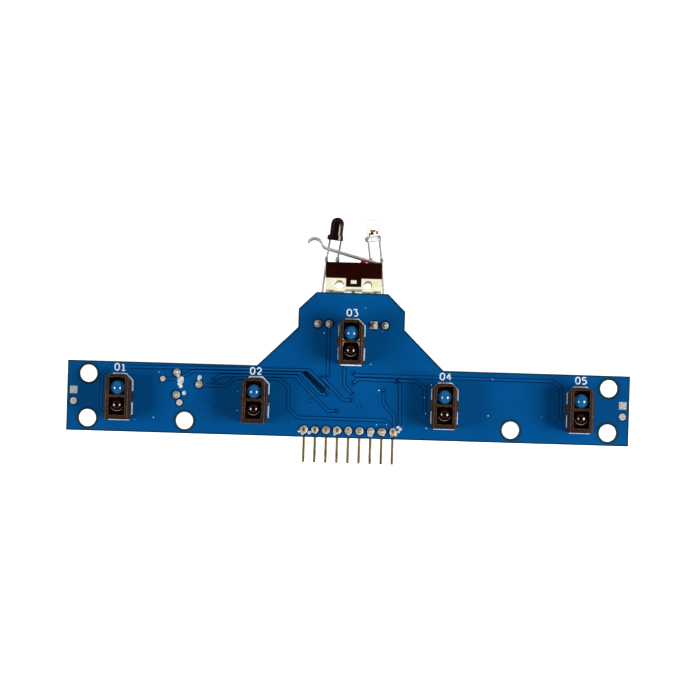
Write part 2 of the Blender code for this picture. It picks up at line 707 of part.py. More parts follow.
def switch_contacts(switch):
    """The three terminals and the moving contact blade inside the switch."""
    closed_x, open_x, common_x = terminal_xs()
    half_w, half_t = TERMINAL_WIDTH / 2, TERMINAL_THICKNESS / 2
    angle, level = blade_angle(), blade_level()
    # Normally closed: up the left side and over the resting blade's tip
    upper = level + BLADE_LENGTH * math.sin(angle) + BLADE_THICKNESS / 2 + FIT_GAP
    closed = switch_terminal("switch_terminal_closed", closed_x, upper + CONTACT_ARM, switch)
    tip_x = BLADE_ANCHOR_X - BLADE_LENGTH * math.cos(angle)
    join(closed, box((closed_x, upper, -half_t), (tip_x + half_w, upper + CONTACT_ARM, half_t)))
    # Normally open: ends just below the blade where the pressed blade comes down
    pressed = (BLADE_ANCHOR_X - open_x + half_w) * math.tan(angle)
    lower = level - pressed - BLADE_THICKNESS / 2 / math.cos(angle) - FIT_GAP
    switch_terminal("switch_terminal_open", open_x, lower, switch)
    anchor_top = level - BLADE_THICKNESS / 2 - CONTACT_ARM
    switch_terminal("switch_terminal_common", common_x, anchor_top, switch)
    shape = box(
        (-BLADE_LENGTH, -BLADE_THICKNESS / 2, -BLADE_WIDTH / 2),
        (2 * BLADE_THICKNESS, BLADE_THICKNESS / 2, BLADE_WIDTH / 2),
    )
    blade = mesh_object("switch_contact_blade", shape, material("copper", BRASS, 0.3, 1.0), switch)
    blade.location = (BLADE_ANCHOR_X, level, 0)
    blade.rotation_euler = (0, 0, -angle)


def turn_path(path, heading, radius, turn, steps=6):
    """Extends a path in the XY plane by an arc that turns left by an angle, and returns the new heading."""
    side = math.copysign(1, turn)
    centre = path[-1] + Vector((-math.sin(heading), math.cos(heading), 0)) * side * radius
    arm = path[-1] - centre
    for i in range(1, steps + 1):
        path.append(centre + Matrix.Rotation(turn * i / steps, 3, "Z") @ arm)
    return heading + turn


def switch_lever(switch):
    """The steel lever, modelled along -X from its pivot and then turned up to its rest angle."""
    path = [Vector((0, 0, 0)), Vector((0, LEVER_LIFT, 0)), Vector((-LEVER_REACH, LEVER_LIFT, 0))]
    heading = turn_path(path, math.pi, HOOK_RISE_RADIUS, -HOOK_RISE, 4)
    turn_path(path, heading, HOOK_RADIUS, HOOK_ARC, 10)
    blank = swept_bar(path, LEVER_WIDTH, LEVER_THICKNESS, (0, 0, 1))
    lever = mesh_object("switch_lever", blank, material("steel", STEEL, 0.3, 1.0), switch)
    join(lever, prism(circle(TRUNNION_RADIUS, segments=16), low=-TRUNNION_HALF, high=TRUNNION_HALF))
    lever.location = (PIVOT_X, PIVOT_Y, 0)
    lever.rotation_euler = (0, 0, -LEVER_ANGLE)
    return lever


def lamp(name, lead_names, hole_xs, kink_x, base_x, yaw, finish, assembly):
    """One 3 mm lamp: a lens with a flange, and two leads that come forward under the switch."""
    centre = Vector((base_x, LED_BASE_Y, LEAD_Z))
    profile = [(0, 0), (LED_FLANGE_RADIUS, 0), (LED_FLANGE_RADIUS, LED_FLANGE), (LED_RADIUS, LED_FLANGE)]
    profile += dome_profile(LED_RADIUS, LED_LENGTH, 5)
    lens = mesh_object(name, turned(profile), finish, assembly)
    lens.location = centre
    lens.rotation_euler = (math.radians(-90), 0, yaw)
    # The lens frame has Z along the lamp and X across it
    wide = LED_FLANGE_RADIUS + MM
    cut(lens, box((LED_FLAT, -wide, -MM), (wide, wide, LED_LENGTH)))
    ahead = Vector((-math.sin(yaw), math.cos(yaw), 0))
    across = Vector((math.cos(yaw), math.sin(yaw), 0))
    pocket = LED_LEAD / 2 + FIT_GAP
    steel = material("steel", STEEL, 0.3, 1.0)
    for side, hole_x, lead_name in zip((-1, 1), hole_xs, lead_names):
        x = side * PITCH / 2
        cut(lens, box((x - pocket, -pocket, -MM), (x + pocket, pocket, LEAD_IN_LENS + FIT_GAP)))
        entry = centre + across * x
        points = [
            Vector((hole_x, LED_ROW_Y, SENSOR_FACE + LEAD_STUB)),
            Vector((hole_x, LED_ROW_Y, LEAD_Z)),
            Vector((kink_x + x, LEAD_KINK_Y, LEAD_Z)),
            entry - ahead * LED_LEAD,
            entry + ahead * LEAD_IN_LENS,
        ]
        path = rounded_path(points, LED_LEAD * 1.5)
        smooth(mesh_object(lead_name, swept_bar(path, LED_LEAD, LED_LEAD, (1, 0, 0)), steel, assembly))
    return smooth(lens)


def proximity_pair(assembly):
    xs = led_lead_xs()
    lamp(
        "proximity_receiver_lens",
        ("receiver_lead_left", "receiver_lead_right"),
        xs[:2],
        RECEIVER_KINK_X,
        RECEIVER_X,
        RECEIVER_YAW,
        material("receiver_black", BLACK, 0.1),
        assembly,
    )
    lamp(
        "proximity_emitter_lens",
        ("emitter_lead_left", "emitter_lead_right"),
        xs[2:],
        EMITTER_KINK_X,
        EMITTER_X,
        EMITTER_YAW,
        material("clear", CLEAR, 0.05),
        assembly,
    )


def header(assembly):
    """A straight pin strip under the board, with its pins bent to the rear below the plastic."""
    half, notch = HEADER_HEIGHT / 2, 0.4 * MM
    left = header_xs()[0] - PITCH / 2
    front, rear = [], []
    for i in range(HEADER_WAYS):
        start = left + i * PITCH
        front += [(start, half - notch), (start + notch, half)]
        front += [(start + PITCH - notch, half)]
        rear += [(start, -half + notch), (start + notch, -half)]
        rear += [(start + PITCH - notch, -half)]
    right = left + HEADER_WAYS * PITCH
    front.append((right, half - notch))
    rear.append((right, -half + notch))
    outline = rear + front[::-1]
    opening = PIN_SIZE + 2 * FIT_GAP
    holes = [rectangle(opening, opening, (x, 0)) for x in header_xs()]
    body = mesh_object(
        "header_body",
        prism(outline, holes, -SEAT_GAP - HEADER_HEIGHT, -SEAT_GAP),
        material("black", BLACK, 0.4),
        assembly,
    )
    body.location = (0, HEADER_Y, 0)
    brass = material("pin_metal", BRASS, 0.3, 1.0)
    for i, x in enumerate(header_xs()):
        points = [(x, HEADER_Y, SENSOR_FACE + LEAD_STUB), (x, HEADER_Y, -PIN_DROP), (x, PIN_TIP_Y, -PIN_DROP)]
        path = rounded_path(points, PIN_SIZE)
        mesh_object(f"header_pin_{i + 1}", swept_bar(path, PIN_SIZE, PIN_SIZE, (1, 0, 0)), brass, assembly)


def trimmer(assembly):
    """The sensitivity trimmer: body, slotted rotor and three terminals."""
    place = Vector((TRIMMER_X, TRIMMER_Y, -TRIMMER_STANDOFF - TRIMMER_BODY))
    half = TRIMMER_SIZE / 2
    corner = half * 0.45
    outline = [
        (half, -half + corner),
        (half, half - corner),
        (half - corner, half),
        (-half, half),
        (-half, -half),
        (half - corner, -half),
    ]
    shaft = ROTOR_RADIUS / 3
    body = mesh_object(
        "trimmer_body",
        prism(outline, [circle(shaft + FIT_GAP, segments=16)], 0, TRIMMER_BODY),
        material("trimmer_blue", (0.03, 0.12, 0.4), 0.4),
        assembly,
    )
    body.location = place
    steel = material("steel", STEEL, 0.3, 1.0)
    embed = 1.2 * MM
    for i, (x, y) in enumerate(trimmer_pin_places()):
        size = LED_LEAD
        pocket = size / 2 + FIT_GAP
        local_x, local_y = x - TRIMMER_X, y - TRIMMER_Y
        depth = TRIMMER_BODY - embed - FIT_GAP
        cut(
            body,
            box(
                (local_x - pocket, local_y - pocket, depth),
                (local_x + pocket, local_y + pocket, TRIMMER_BODY + MM),
            ),
        )
        low = -TRIMMER_STANDOFF - embed
        pin = box(
            (x - size / 2, y - size / 2, low),
            (x + size / 2, y + size / 2, SENSOR_FACE + LEAD_STUB),
        )
        mesh_object(f"trimmer_terminal_{i + 1}", pin, steel, assembly)
    face = -SEAT_GAP
    profile = [
        (0, face - ROTOR_HEIGHT),
        (ROTOR_RADIUS, face - ROTOR_HEIGHT),
        (ROTOR_RADIUS, face),
        (shaft, face),
        (shaft, TRIMMER_BODY * 0.8),
        (0, TRIMMER_BODY * 0.8),
    ]
    rotor = mesh_object("trimmer_rotor", turned(profile, 24), material("white", WHITE, 0.4), assembly)
    rotor.location = place
    low = face - ROTOR_HEIGHT
    for width, length in ((ROTOR_SLOT, ROTOR_RADIUS * 1.5), (ROTOR_RADIUS * 1.5, ROTOR_SLOT)):
        cut(rotor, box((-width / 2, -length / 2, low - MM), (width / 2, length / 2, low + ROTOR_SLOT)))
    return rotor


def gull_wing(x, side):
    """One lead of the chip: out of the body's side, down and out on the board."""
    y0, span = IC_SIZE[1] / 2 - 0.3 * MM, IC_LEAD_SPAN / 2
    top, board = -IC_SIZE[2] / 2 - 0.1 * MM, -SEAT_GAP - 0.1 * MM
    foot = span - 0.55 * MM
    points = [(x, side * y, z) for y, z in ((y0, top), (foot - 0.1 * MM, top), (foot, board), (span, board))]
    return swept_bar([Vector(p) for p in points], 0.4 * MM, 0.2 * MM, (1, 0, 0))


def logic_chip(assembly):
    length, width, height = IC_SIZE
    low = -height - 0.15 * MM
    chip = mesh_object(
        "logic_chip",
        box((-length / 2, -width / 2, low), (length / 2, width / 2, -0.15 * MM)),
        material("black", BLACK, 0.4),
        assembly,
    )
    chip.location = (*IC_PLACE, 0)
    first = -(IC_PINS_PER_SIDE - 1) / 2 * IC_PITCH
    for i in range(IC_PINS_PER_SIDE):
        join(chip, *(gull_wing(first + i * IC_PITCH, side) for side in (-1, 1)))
    return chip


def chip_part(name, place, height, middle_height, finish, assembly, quarter_turn=False):
    """A two-ended surface-mount part: end caps of one height and a middle of another."""
    half, cap = CHIP_LENGTH / 2, CHIP_LENGTH / 2 - CHIP_CAP
    outline = [(-half, 0), (half, 0), (half, height), (cap, height), (cap, middle_height)]
    outline += [(-cap, middle_height), (-cap, height), (-half, height)]
    # The outline's second direction points down from the component face
    downward = Matrix(((1, 0, 0, 0), (0, 0, 1, 0), (0, -1, 0, -SEAT_GAP), (0, 0, 0, 1)))
    shape = prism(outline, low=-CHIP_WIDTH / 2, high=CHIP_WIDTH / 2, turn=downward)
    part = mesh_object(name, shape, finish, assembly)
    part.location = (*place, 0)
    part.rotation_euler = (0, 0, math.pi / 2 if quarter_turn else 0)
    return part


def small_parts(assembly):
    """Indicator lamps, sensor resistors and the supply capacitor on the component face."""
    lamp_finish = material("indicator", (0.9, 0.85, 0.6), 0.3)
    resistor = material("black", BLACK, 0.4)
    for i, (x, y) in enumerate(sensor_places()):
        chip_part(f"indicator_{i + 1}", (x, y + INDICATOR_Y), 0.4 * MM, 0.8 * MM, lamp_finish, assembly)
        side = 1 if x <= 0 else -1
        place = (x + side * RESISTOR_OFFSET, y)
        chip_part(f"sensor_resistor_{i + 1}", place, 0.55 * MM, 0.5 * MM, resistor, assembly, True)
    for name, side in (("bump_indicator", -1), ("proximity_indicator", 1)):
        place = (side * NOSE_HALF_WIDTH * 0.75, CENTRE_SENSOR_Y - PITCH)
        chip_part(name, place, 0.4 * MM, 0.8 * MM, lamp_finish, assembly)
    tan = material("capacitor", (0.35, 0.25, 0.15), 0.5)
    chip_part("supply_capacitor", CAPACITOR_PLACE, 1.0 * MM, 0.9 * MM, tan, assembly, True)


def main():
    clear_scene()
    assembly = bpy.data.objects.new("assembly", None)
    bpy.context.scene.collection.objects.link(assembly)
    assembly.location = (0, -(PIN_TIP_Y + LED_TIP_Y) / 2, -LOWEST_Z)
    circuit_board(assembly)
    for i, place in enumerate(sensor_places()):
        sensor(i + 1, place, assembly)
    bump_switch(assembly)
    proximity_pair(assembly)
    header(assembly)
    trimmer(assembly)
    logic_chip(assembly)
    small_parts(assembly)


main()
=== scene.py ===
# %% [markdown]
# # A line sensor board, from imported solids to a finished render
# The board carries five reflective line sensors, a bump switch and an infrared proximity pair. Its solids
# come ready made and in place. This lesson rounds their edges, adds solder, tracks and ink, and gives every
# surface a material that is worked out from what it is made of.

# %% Load the solids
import json
import math

import bmesh
import bpy
from mathutils import Matrix, Vector


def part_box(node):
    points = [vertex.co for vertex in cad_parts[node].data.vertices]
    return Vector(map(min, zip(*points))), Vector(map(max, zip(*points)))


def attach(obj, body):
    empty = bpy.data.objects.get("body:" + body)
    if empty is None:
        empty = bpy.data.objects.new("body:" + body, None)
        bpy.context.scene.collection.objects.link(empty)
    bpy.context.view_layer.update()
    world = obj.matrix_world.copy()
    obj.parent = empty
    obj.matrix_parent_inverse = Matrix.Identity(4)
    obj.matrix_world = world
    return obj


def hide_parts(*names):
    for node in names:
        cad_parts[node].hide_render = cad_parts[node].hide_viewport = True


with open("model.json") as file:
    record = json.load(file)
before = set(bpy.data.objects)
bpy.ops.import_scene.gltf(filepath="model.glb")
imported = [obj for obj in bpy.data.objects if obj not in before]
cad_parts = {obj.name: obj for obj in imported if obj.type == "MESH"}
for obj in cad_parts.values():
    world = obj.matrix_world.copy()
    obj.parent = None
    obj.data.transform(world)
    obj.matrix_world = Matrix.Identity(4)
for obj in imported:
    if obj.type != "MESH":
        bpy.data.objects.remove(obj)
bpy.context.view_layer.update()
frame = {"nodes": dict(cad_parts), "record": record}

scene = bpy.context.scene
MM = 0.001
print(len(frame["nodes"]), "solids loaded")

# %% [markdown]
# ## One frame for everything on the board
# Tracks, ink and solder are placed in millimetres from the middle of the long strip, as a board maker's
# drawing would have them. One function turns such a place into the model's own frame.

# %% The board's own frame
STRIP_DEPTH = 16.0
board_low, board_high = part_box("circuit_board")
FACE = board_high.z  # the side with the line sensors
UNDERSIDE = board_low.z  # the side with the components
STRIP_MIDDLE = Vector(((board_low.x + board_high.x) / 2, board_low.y + STRIP_DEPTH * MM / 2, 0))


def on_board(place, level=FACE):
    """A point given in millimetres from the middle of the strip, at a height in metres."""
    return STRIP_MIDDLE + Vector((place[0] * MM, place[1] * MM, level))


def middle_of(node):
    """The middle of a solid's box, in metres."""
    low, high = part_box(node)
    return (low + high) / 2


def on_drawing(point):
    """The reverse of on_board: a place in millimetres from the middle of the strip."""
    return ((point.x - STRIP_MIDDLE.x) / MM, (point.y - STRIP_MIDDLE.y) / MM)


SENSORS = [on_drawing(middle_of(f"sensor_{n}_housing")) for n in range(1, 6)]
print("sensor middles", [(round(x, 2), round(y, 2)) for x, y in SENSORS])

# %% [markdown]
# ## Camera, floor and light
# A small flat object is shown best from straight above, far enough away that tall pieces hardly lean out.
# The standard view transform keeps white paper white and blue mask blue.

# %% Camera
CAMERA_DISTANCE = 0.7
CAMERA_FIELD = 159.3 * MM  # width seen at the level of the board
CAMERA_TARGET = (0.07, 12.1)
CAMERA_ROLL = math.radians(1.72)
camera = bpy.data.objects.new("camera", bpy.data.cameras.new("camera"))
scene.collection.objects.link(camera)
camera.data.lens = camera.data.sensor_width * CAMERA_DISTANCE / CAMERA_FIELD
camera.location = on_board(CAMERA_TARGET, FACE + CAMERA_DISTANCE)
camera.rotation_euler = (0, 0, CAMERA_ROLL)
camera.data.clip_start = 0.01
scene.camera = camera
scene.view_settings.view_transform = "Standard"
print("camera", CAMERA_DISTANCE, "m above the board")

# %% [markdown]
# Two square soft boxes stand low at the left and the right. They give each dome its pair of highlights and
# keep the glossy board dark, because nothing bright is straight above it.

# %% Soft boxes
LIGHT_TARGET = (0, 8)
LIGHT_DISTANCE = 0.55
LIGHT_LEAN = math.radians(51)  # from straight up
LIGHT_BACK = 0.16  # how far the boxes stand toward the header, as a share of their distance
LIGHT_SIZE = 0.26
LIGHT_POWERS = {-1: 1.9, 1: 3.0}  # watts at the left and the right
for side, watts in LIGHT_POWERS.items():
    lamp = bpy.data.lights.new("soft_box", "AREA")
    lamp.shape, lamp.size, lamp.energy = "SQUARE", LIGHT_SIZE, watts
    box = bpy.data.objects.new("soft_box", lamp)
    scene.collection.objects.link(box)
    toward = Vector((side * math.sin(LIGHT_LEAN), -LIGHT_BACK, math.cos(LIGHT_LEAN))).normalized()
    box.location = on_board(LIGHT_TARGET) + toward * LIGHT_DISTANCE
    box.rotation_euler = toward.to_track_quat("Z", "Y").to_euler()
print(len(LIGHT_POWERS), "soft boxes")

# %% [markdown]
# ## Small helpers for nodes and colours
# One function adds any node, to a material or to a geometry tree, with its settings, its plain socket
# values, its links and, on a colour ramp, its stops. Another turns a colour written in hex into the linear
# values that sockets take.


# %% Helpers
def linear(colour, alpha=1.0):
    """A hex colour such as 1F6FB0 as linear red, green, blue and alpha."""
    parts = [int(colour[i : i + 2], 16) / 255 for i in (0, 2, 4)]
    return tuple(p / 12.92 if p <= 0.04045 else ((p + 0.055) / 1.055) ** 2.4 for p in parts) + (alpha,)


def add(tree, kind, values=None, links=None, stops=(), **settings):
    """Adds any node, with socket values, links from other sockets, (place, colour) stops and settings."""
    node = tree.nodes.new(kind)
    for name, value in settings.items():
        setattr(node, name, value)
    for name, value in (values or {}).items():
        node.inputs[name].default_value = value
    for name, source in (links or {}).items():
        tree.links.new(source, node.inputs[name])
    if stops:
        elements = node.color_ramp.elements
        while len(elements) < len(stops):
            elements.new(0.5)
        for element, (at, colour) in zip(elements, stops):
            element.position, element.color = at, linear(colour)
    return node


# %% [markdown]
# A finish starts as a plain Principled shader. Two things make it look like real stuff: its colour drifts in
# patches of a real size, and its surface rises and falls by real hundredths of a millimetre.


# %% A finish, its patches and its relief
def new_finish(name, colour, **values):
    """A material whose Principled shader has these plain values, and its tree, shader and coordinates."""
    made = bpy.data.materials.new(name)
    made.use_nodes = True
    tree = made.node_tree
    shader = tree.nodes["Principled BSDF"]
    shader.inputs["Base Color"].default_value = linear(colour)
    for key, value in values.items():
        shader.inputs[key.replace("_", " ")].default_value = value
    place = add(tree, "ShaderNodeTexCoord").outputs["Object"]
    return made, tree, shader, place


def patches(tree, place, size, detail=3.0, squeeze=(1, 1, 1)):
    """A pattern from 0 to 1 in patches about size metres across, narrower on an axis squeezed by over 1."""
    squeezed = add(tree, "ShaderNodeMapping", {"Scale": squeeze}, {"Vector": place})
    noise = {"Scale": 1 / size, "Detail": detail}
    return add(tree, "ShaderNodeTexNoise", noise, {"Vector": squeezed.outputs[0]}).outputs["Fac"]


def tint(tree, shader, pattern, *stops):
    """Colours a finish by a pattern from 0 to 1, through (place, hex colour) stops."""
    blend = add(tree, "ShaderNodeValToRGB", links={"Fac": pattern}, stops=stops)
    tree.links.new(blend.outputs["Color"], shader.inputs["Base Color"])
    return blend.outputs["Color"]


def relief(tree, shader, pattern, depth):
    """Raises and lowers a surface by a pattern from 0 to 1, depth metres high."""
    bump = add(tree, "ShaderNodeBump", {"Distance": depth, "Strength": 1.0}, {"Height": pattern})
    tree.links.new(bump.outputs[0], shader.inputs["Normal"])


# %% [markdown]
# ## Surroundings and floor
# The room is grey at the height of the board and dark overhead, so the glossy mask keeps its deep blue. The
# floor is a white paper sweep that glows a little, as paper does under strong lamps.

# %% World and floor
world = bpy.data.worlds.new("studio")
scene.world = world
world.use_nodes = True
sky = world.node_tree
upward = add(sky, "ShaderNodeSeparateXYZ", links={0: add(sky, "ShaderNodeTexCoord").outputs["Generated"]})
ROOM = [(0.0, "6A6C6E"), (0.4, "96989A"), (0.85, "1C1D1E")]  # at the horizon, higher up and overhead
surround = add(sky, "ShaderNodeValToRGB", links={"Fac": upward.outputs["Z"]}, stops=ROOM)
backdrop = sky.nodes["Background"]
sky.links.new(surround.outputs["Color"], backdrop.inputs["Color"])
backdrop.inputs["Strength"].default_value = 0.9

FLOOR_HALF = 1.5
# White paper with its fibres: matt, and bright enough to fade into the background
paper, tree, shader, place = new_finish("white_paper_sweep", "FAFAF8", Roughness=0.9)
shader.inputs["Emission Color"].default_value = linear("FFFFFF")
shader.inputs["Emission Strength"].default_value = 0.9
relief(tree, shader, patches(tree, place, 0.4 * MM), 0.02 * MM)
corners = [(x * FLOOR_HALF, y * FLOOR_HALF, 0) for x, y in ((-1, -1), (1, -1), (1, 1), (-1, 1))]
floor_mesh = bpy.data.meshes.new("floor")
floor_mesh.from_pydata(corners, [], [(0, 1, 2, 3)])
floor_mesh.materials.append(paper)
floor = bpy.data.objects.new("floor", floor_mesh)
scene.collection.objects.link(floor)
floor.visible_glossy = False  # so that glossy sides stay dark at their rims, as over a sheet of glass
print("floor", 2 * FLOOR_HALF, "m wide")

# %% [markdown]
# ## Materials
# Each one is named for the real stuff and how its surface was made. Pattern sizes are real millimetres.
# The board is glass fibre under blue solder mask: over copper the mask is lighter, over bare laminate it is
# darker, and the sawn edge shows tan glass and resin.

# %% Solder mask and laminate
def mask_finish(name, colour, lighter):
    """Screened and cured solder mask: glossy, with a faint mottle where the ink pooled."""
    soft_gloss = {"Roughness": 0.32, "IOR": 1.5, "Specular_IOR_Level": 0.12}
    made, tree, shader, place = new_finish(name, colour, **soft_gloss)
    mottle = tint(tree, shader, patches(tree, place, 9 * MM, 4), (0.3, colour), (0.7, lighter))
    relief(tree, shader, patches(tree, place, 0.5 * MM, 2), 0.004 * MM)
    return made, tree, shader, mottle


# Over the copper plane the mask is an even, saturated blue
mask_on_copper, tree, shader, mottle = mask_finish("solder_mask_over_copper", "004B86", "005292")
# The sawn edge and the drilled walls aren't masked: they show tan glass fibre in resin
facing = add(tree, "ShaderNodeSeparateXYZ", links={0: add(tree, "ShaderNodeNewGeometry").outputs["Normal"]})
flatness = add(tree, "ShaderNodeMath", links={0: facing.outputs["Z"]}, operation="ABSOLUTE")
masked = add(tree, "ShaderNodeMath", {1: 0.5}, {0: flatness.outputs[0]}, operation="GREATER_THAN")
place = add(tree, "ShaderNodeTexCoord").outputs["Object"]
layers = patches(tree, place, 1.2 * MM, 2, (1, 1, 6))  # glass cloth lies in flat layers
GLASS_FIBRE = [(0.35, "6E5F38"), (0.65, "9A8A5C")]
laminate = add(tree, "ShaderNodeValToRGB", links={"Fac": layers}, stops=GLASS_FIBRE)
edge_mix = add(tree, "ShaderNodeMix", links={"Factor": masked.outputs[0]}, data_type="RGBA")
tree.links.new(laminate.outputs["Color"], edge_mix.inputs["A"])
tree.links.new(mottle, edge_mix.inputs["B"])
tree.links.new(edge_mix.outputs["Result"], shader.inputs["Base Color"])

# Where the copper is etched away the mask lies over dark resin, and reads as a navy line
mask_on_laminate = mask_finish("solder_mask_over_bare_laminate", "002E58", "003462")[0]
# On a raised track it is thinner, so the copper under it lightens the blue
mask_on_track = mask_finish("solder_mask_over_track", "045090", "0A5A9A")[0]
# Toward the sawn edge and the drilled holes it runs thin, and the resin turns it green-grey
bare_margin = mask_finish("mask_thinned_at_sawn_edge", "0C3446", "143E4A")[0]
# The drill leaves a thread of bare, brown laminate around the hole
drilled_rim = mask_finish("laminate_at_drilled_rim", "6A5238", "9A8464")[0]
print("solder mask over copper, laminate and tracks")

# %% [markdown]
# The white ink is screened on, so it is thin in places and lets the blue through. The metals are tin, brass,
# steel and copper alloy: each is a dark and a light tone in grains, drawn out where the metal was rolled or
# drawn, and its gloss changes with the grains. A film of oxide or flux dulls a metal: some are part metallic.

# %% Ink and metals
# Epoxy ink, matt and a little patchy
ink, tree, shader, place = new_finish("screened_white_ink", "E9F2F6", Roughness=0.6)
tint(tree, shader, patches(tree, place, 0.35 * MM, 3), (0.3, "A9C6D8"), (0.5, "F2F7F8"))


def metal_finish(name, dark, light, rough, grain, depth, squeeze=(1, 1, 1), bright=1.0):
    """A metal whose colour and gloss vary in grains. bright is below 1 under a film of oxide or flux."""
    made, tree, shader, place = new_finish(name, light, Metallic=bright)
    grains = patches(tree, place, grain, 3, squeeze)
    tint(tree, shader, grains, (0.3, dark), (0.7, light))
    spread = add(tree, "ShaderNodeMapRange", {"To Min": rough, "To Max": rough + 0.2}, {"Value": grains})
    tree.links.new(spread.outputs[0], shader.inputs["Roughness"])
    relief(tree, shader, grains, depth)
    return made


# Frozen from the melt, it is smooth and bright with a few dull crystals
FROZEN = "tin_solder_frozen_from_melt"
solder = metal_finish(FROZEN, "9C9284", "F0EAE2", 0.25, 0.4 * MM, 0.08 * MM, bright=0.8)
# The same under rosin: warmer, with amber in the hollows
flux_solder = metal_finish("tin_solder_under_flux", "9A7C50", "FFF8E8", 0.3, 0.4 * MM, 0.14 * MM, bright=0.35)
# Levelled by hot air, it is a dull, slightly wavy grey-white
pad_tin = metal_finish("levelled_tin_on_copper", "A8A09A", "E6E0DC", 0.5, 0.3 * MM, 0.05 * MM, bright=0.35)
# Drawn and tinned wire has a soft satin shine
TINNED_WIRE = "tinned_copper_clad_steel_drawn"
tinned_wire = metal_finish(TINNED_WIRE, "B4AEA8", "F4F0EC", 0.35, 0.3 * MM, 0.01 * MM, bright=0.75)
# Thinly plated brass, drawn along its length: straw with brown streaks
DRAWN, ROLLED = (3, 0.3, 3), (0.3, 3, 1)
pin_metal = metal_finish("brass_pin_flash_plated", "6A5A3C", "BCA880", 0.34, 0.5 * MM, 0.01 * MM, DRAWN)
# Rolled spring strip: pale grey with fine lines along it
STRIP = "stainless_strip_rolled"
spring_steel = metal_finish(STRIP, "B8B4B2", "F2F0EE", 0.4, 0.4 * MM, 0.004 * MM, ROLLED, 0.7)
# A flash of gold on the lead frame inside the clear lamp
gilt = metal_finish("gilt_lead_frame", "8A6420", "E0B860", 0.25, 0.3 * MM, 0.01 * MM)
# A copper alloy blade: reddish and bright
contact_alloy = metal_finish("beryllium_copper_strip", "8A5A34", "C98D5E", 0.25, 0.4 * MM, 0.005 * MM)

# Dried rosin: a cloudy white crust over the blue
flux, tree, shader, place = new_finish("dried_rosin_flux", "E8E4DA", Roughness=0.35, IOR=1.52)
cloudy = patches(tree, place, 0.4 * MM, 4)
tint(tree, shader, cloudy, (0.35, "9FB4C4"), (0.6, "EFEDE6"))
relief(tree, shader, cloudy, 0.1 * MM)
print("ink, solder, wire, brass, steel, gilt, copper alloy and flux")

# %% [markdown]
# Moulded plastics differ by gloss and by how the mould left them. The sensor hoods are a brown-black resin
# that wears to tan on every edge, and their rounded edges get a second material of their own, which paints
# this wear together with a painted highlight.


# %% Plastics
def plastic(name, colour, lighter, rough, grain=0.25 * MM, depth=0.008 * MM, **values):
    """A moulded plastic: a little mottled, with the fine texture of the mould."""
    made, tree, shader, place = new_finish(name, colour, Roughness=rough, **values)
    tint(tree, shader, patches(tree, place, 2.5 * MM, 4), (0.35, colour), (0.7, lighter))
    relief(tree, shader, patches(tree, place, grain, 2), depth)
    return made


# Glass-filled resin: brown-black and matt, so the hoods swallow stray light
hood_resin = plastic("glass_filled_resin_moulded", "26130B", "382016", 0.5, Specular_IOR_Level=0.2)
# Edges of the same resin: tan where wear brings the glass to the surface, and lighter as a painted highlight
hood_wear_and_highlight, tree, shader, place = new_finish("moulded_resin_worn_edge_painted_highlight", "7A5E40", Roughness=0.5)
rubbed_and_highlighted = patches(tree, place, 0.5 * MM, 5)
tint(tree, shader, rubbed_and_highlighted, (0.3, "4A3420"), (0.5, "826646"), (0.65, "B4966E"))
relief(tree, shader, rubbed_and_highlighted, 0.03 * MM)
# A dark oxblood cover, dead matt on its faces, with a painted highlight on its rounded edges: lighter and
# glossier
cover_resin = plastic("phenolic_cover_moulded", "1E0200", "280502", 0.6, Specular_IOR_Level=0.03)
cover_edge_painted_highlight = plastic("phenolic_cover_edge", "2E1008", "3E1A10", 0.4)
# Unpainted polyester: warm cream, and darker on its rounded edges as painted shade
cream_pbt = plastic("cream_polyester_moulded", "F0EBC8", "FBF8E4", 0.45)
cream_edge_painted_shade = plastic("cream_polyester_painted_edge_shade", "DDD7B4", "EEE9CE", 0.45)
# The small mouldings: satin black, bright red, mid blue and off-white
black_nylon = plastic("black_nylon_moulded", "0B0A0A", "141212", 0.4)
red_acetal = plastic("red_acetal_moulded", "D2261A", "E23A28", 0.3)
trimmer_resin = plastic("blue_resin_moulded", "14489C", "1C55AC", 0.35)
white_acetal = plastic("white_acetal_moulded", "E2E0DA", "ECEAE4", 0.35)
# Transfer-moulded epoxy is rougher than nylon, fired ceramic is dull, resin and glaze are glassy
chip_epoxy = plastic("black_epoxy_transfer_moulded", "121113", "1C1B1E", 0.55, 0.12 * MM, 0.012 * MM)
ceramic_tan = plastic("fired_ceramic", "7A5A3A", "8A6846", 0.5)
indicator_resin = plastic("lamp_chip_clear_resin", "D8D2A8", "E6E2C4", 0.25)
resistor_glaze = plastic("black_glass_glaze", "101012", "1A1A1E", 0.25)
print("hood, cover, cream, nylon, acetal, epoxy, ceramic, resin and glaze")

# %% [markdown]
# The domes and lamps are epoxy cast in polished moulds. A dome's colour follows how far its surface faces up,
# which paints light and shade: the rims of the blue and dark domes are painted lighter than their crowns, and
# the clear lamp's outline is painted grey. The clear lamp really lets light through.


# %% Cast resins
def cast_resin(name, rim, crown, rough, bend=(0.45, 1.05), **values):
    """Cast resin with painted light: one colour at the rim, where the surface turns away, another at its
    crown.
    """
    made, tree, shader, place = new_finish(name, crown, Roughness=rough, IOR=1.54, **values)
    normal = add(tree, "ShaderNodeNewGeometry").outputs["Normal"]
    upright = add(tree, "ShaderNodeSeparateXYZ", links={0: normal}).outputs["Z"]
    swirl = patches(tree, place, 1.2 * MM, 2)
    drift = add(tree, "ShaderNodeMath", {1: 0.25}, {0: swirl}, operation="MULTIPLY").outputs[0]
    height = add(tree, "ShaderNodeMath", links={0: upright, 1: drift}, operation="ADD").outputs[0]
    # Rim to crown by how far the surface faces up: painted light and shade
    tint(tree, shader, height, (bend[0], rim), (bend[1], crown))
    return made


# The blue dome glows a little: painted light, standing in for light carried through the resin
PAINTED_GLOW = {"Emission_Color": linear("146CA8"), "Emission_Strength": 0.2}
blue_cast = cast_resin("blue_epoxy_cast", "38A8E4", "0A4C86", 0.1, Specular_IOR_Level=1.0, **PAINTED_GLOW)
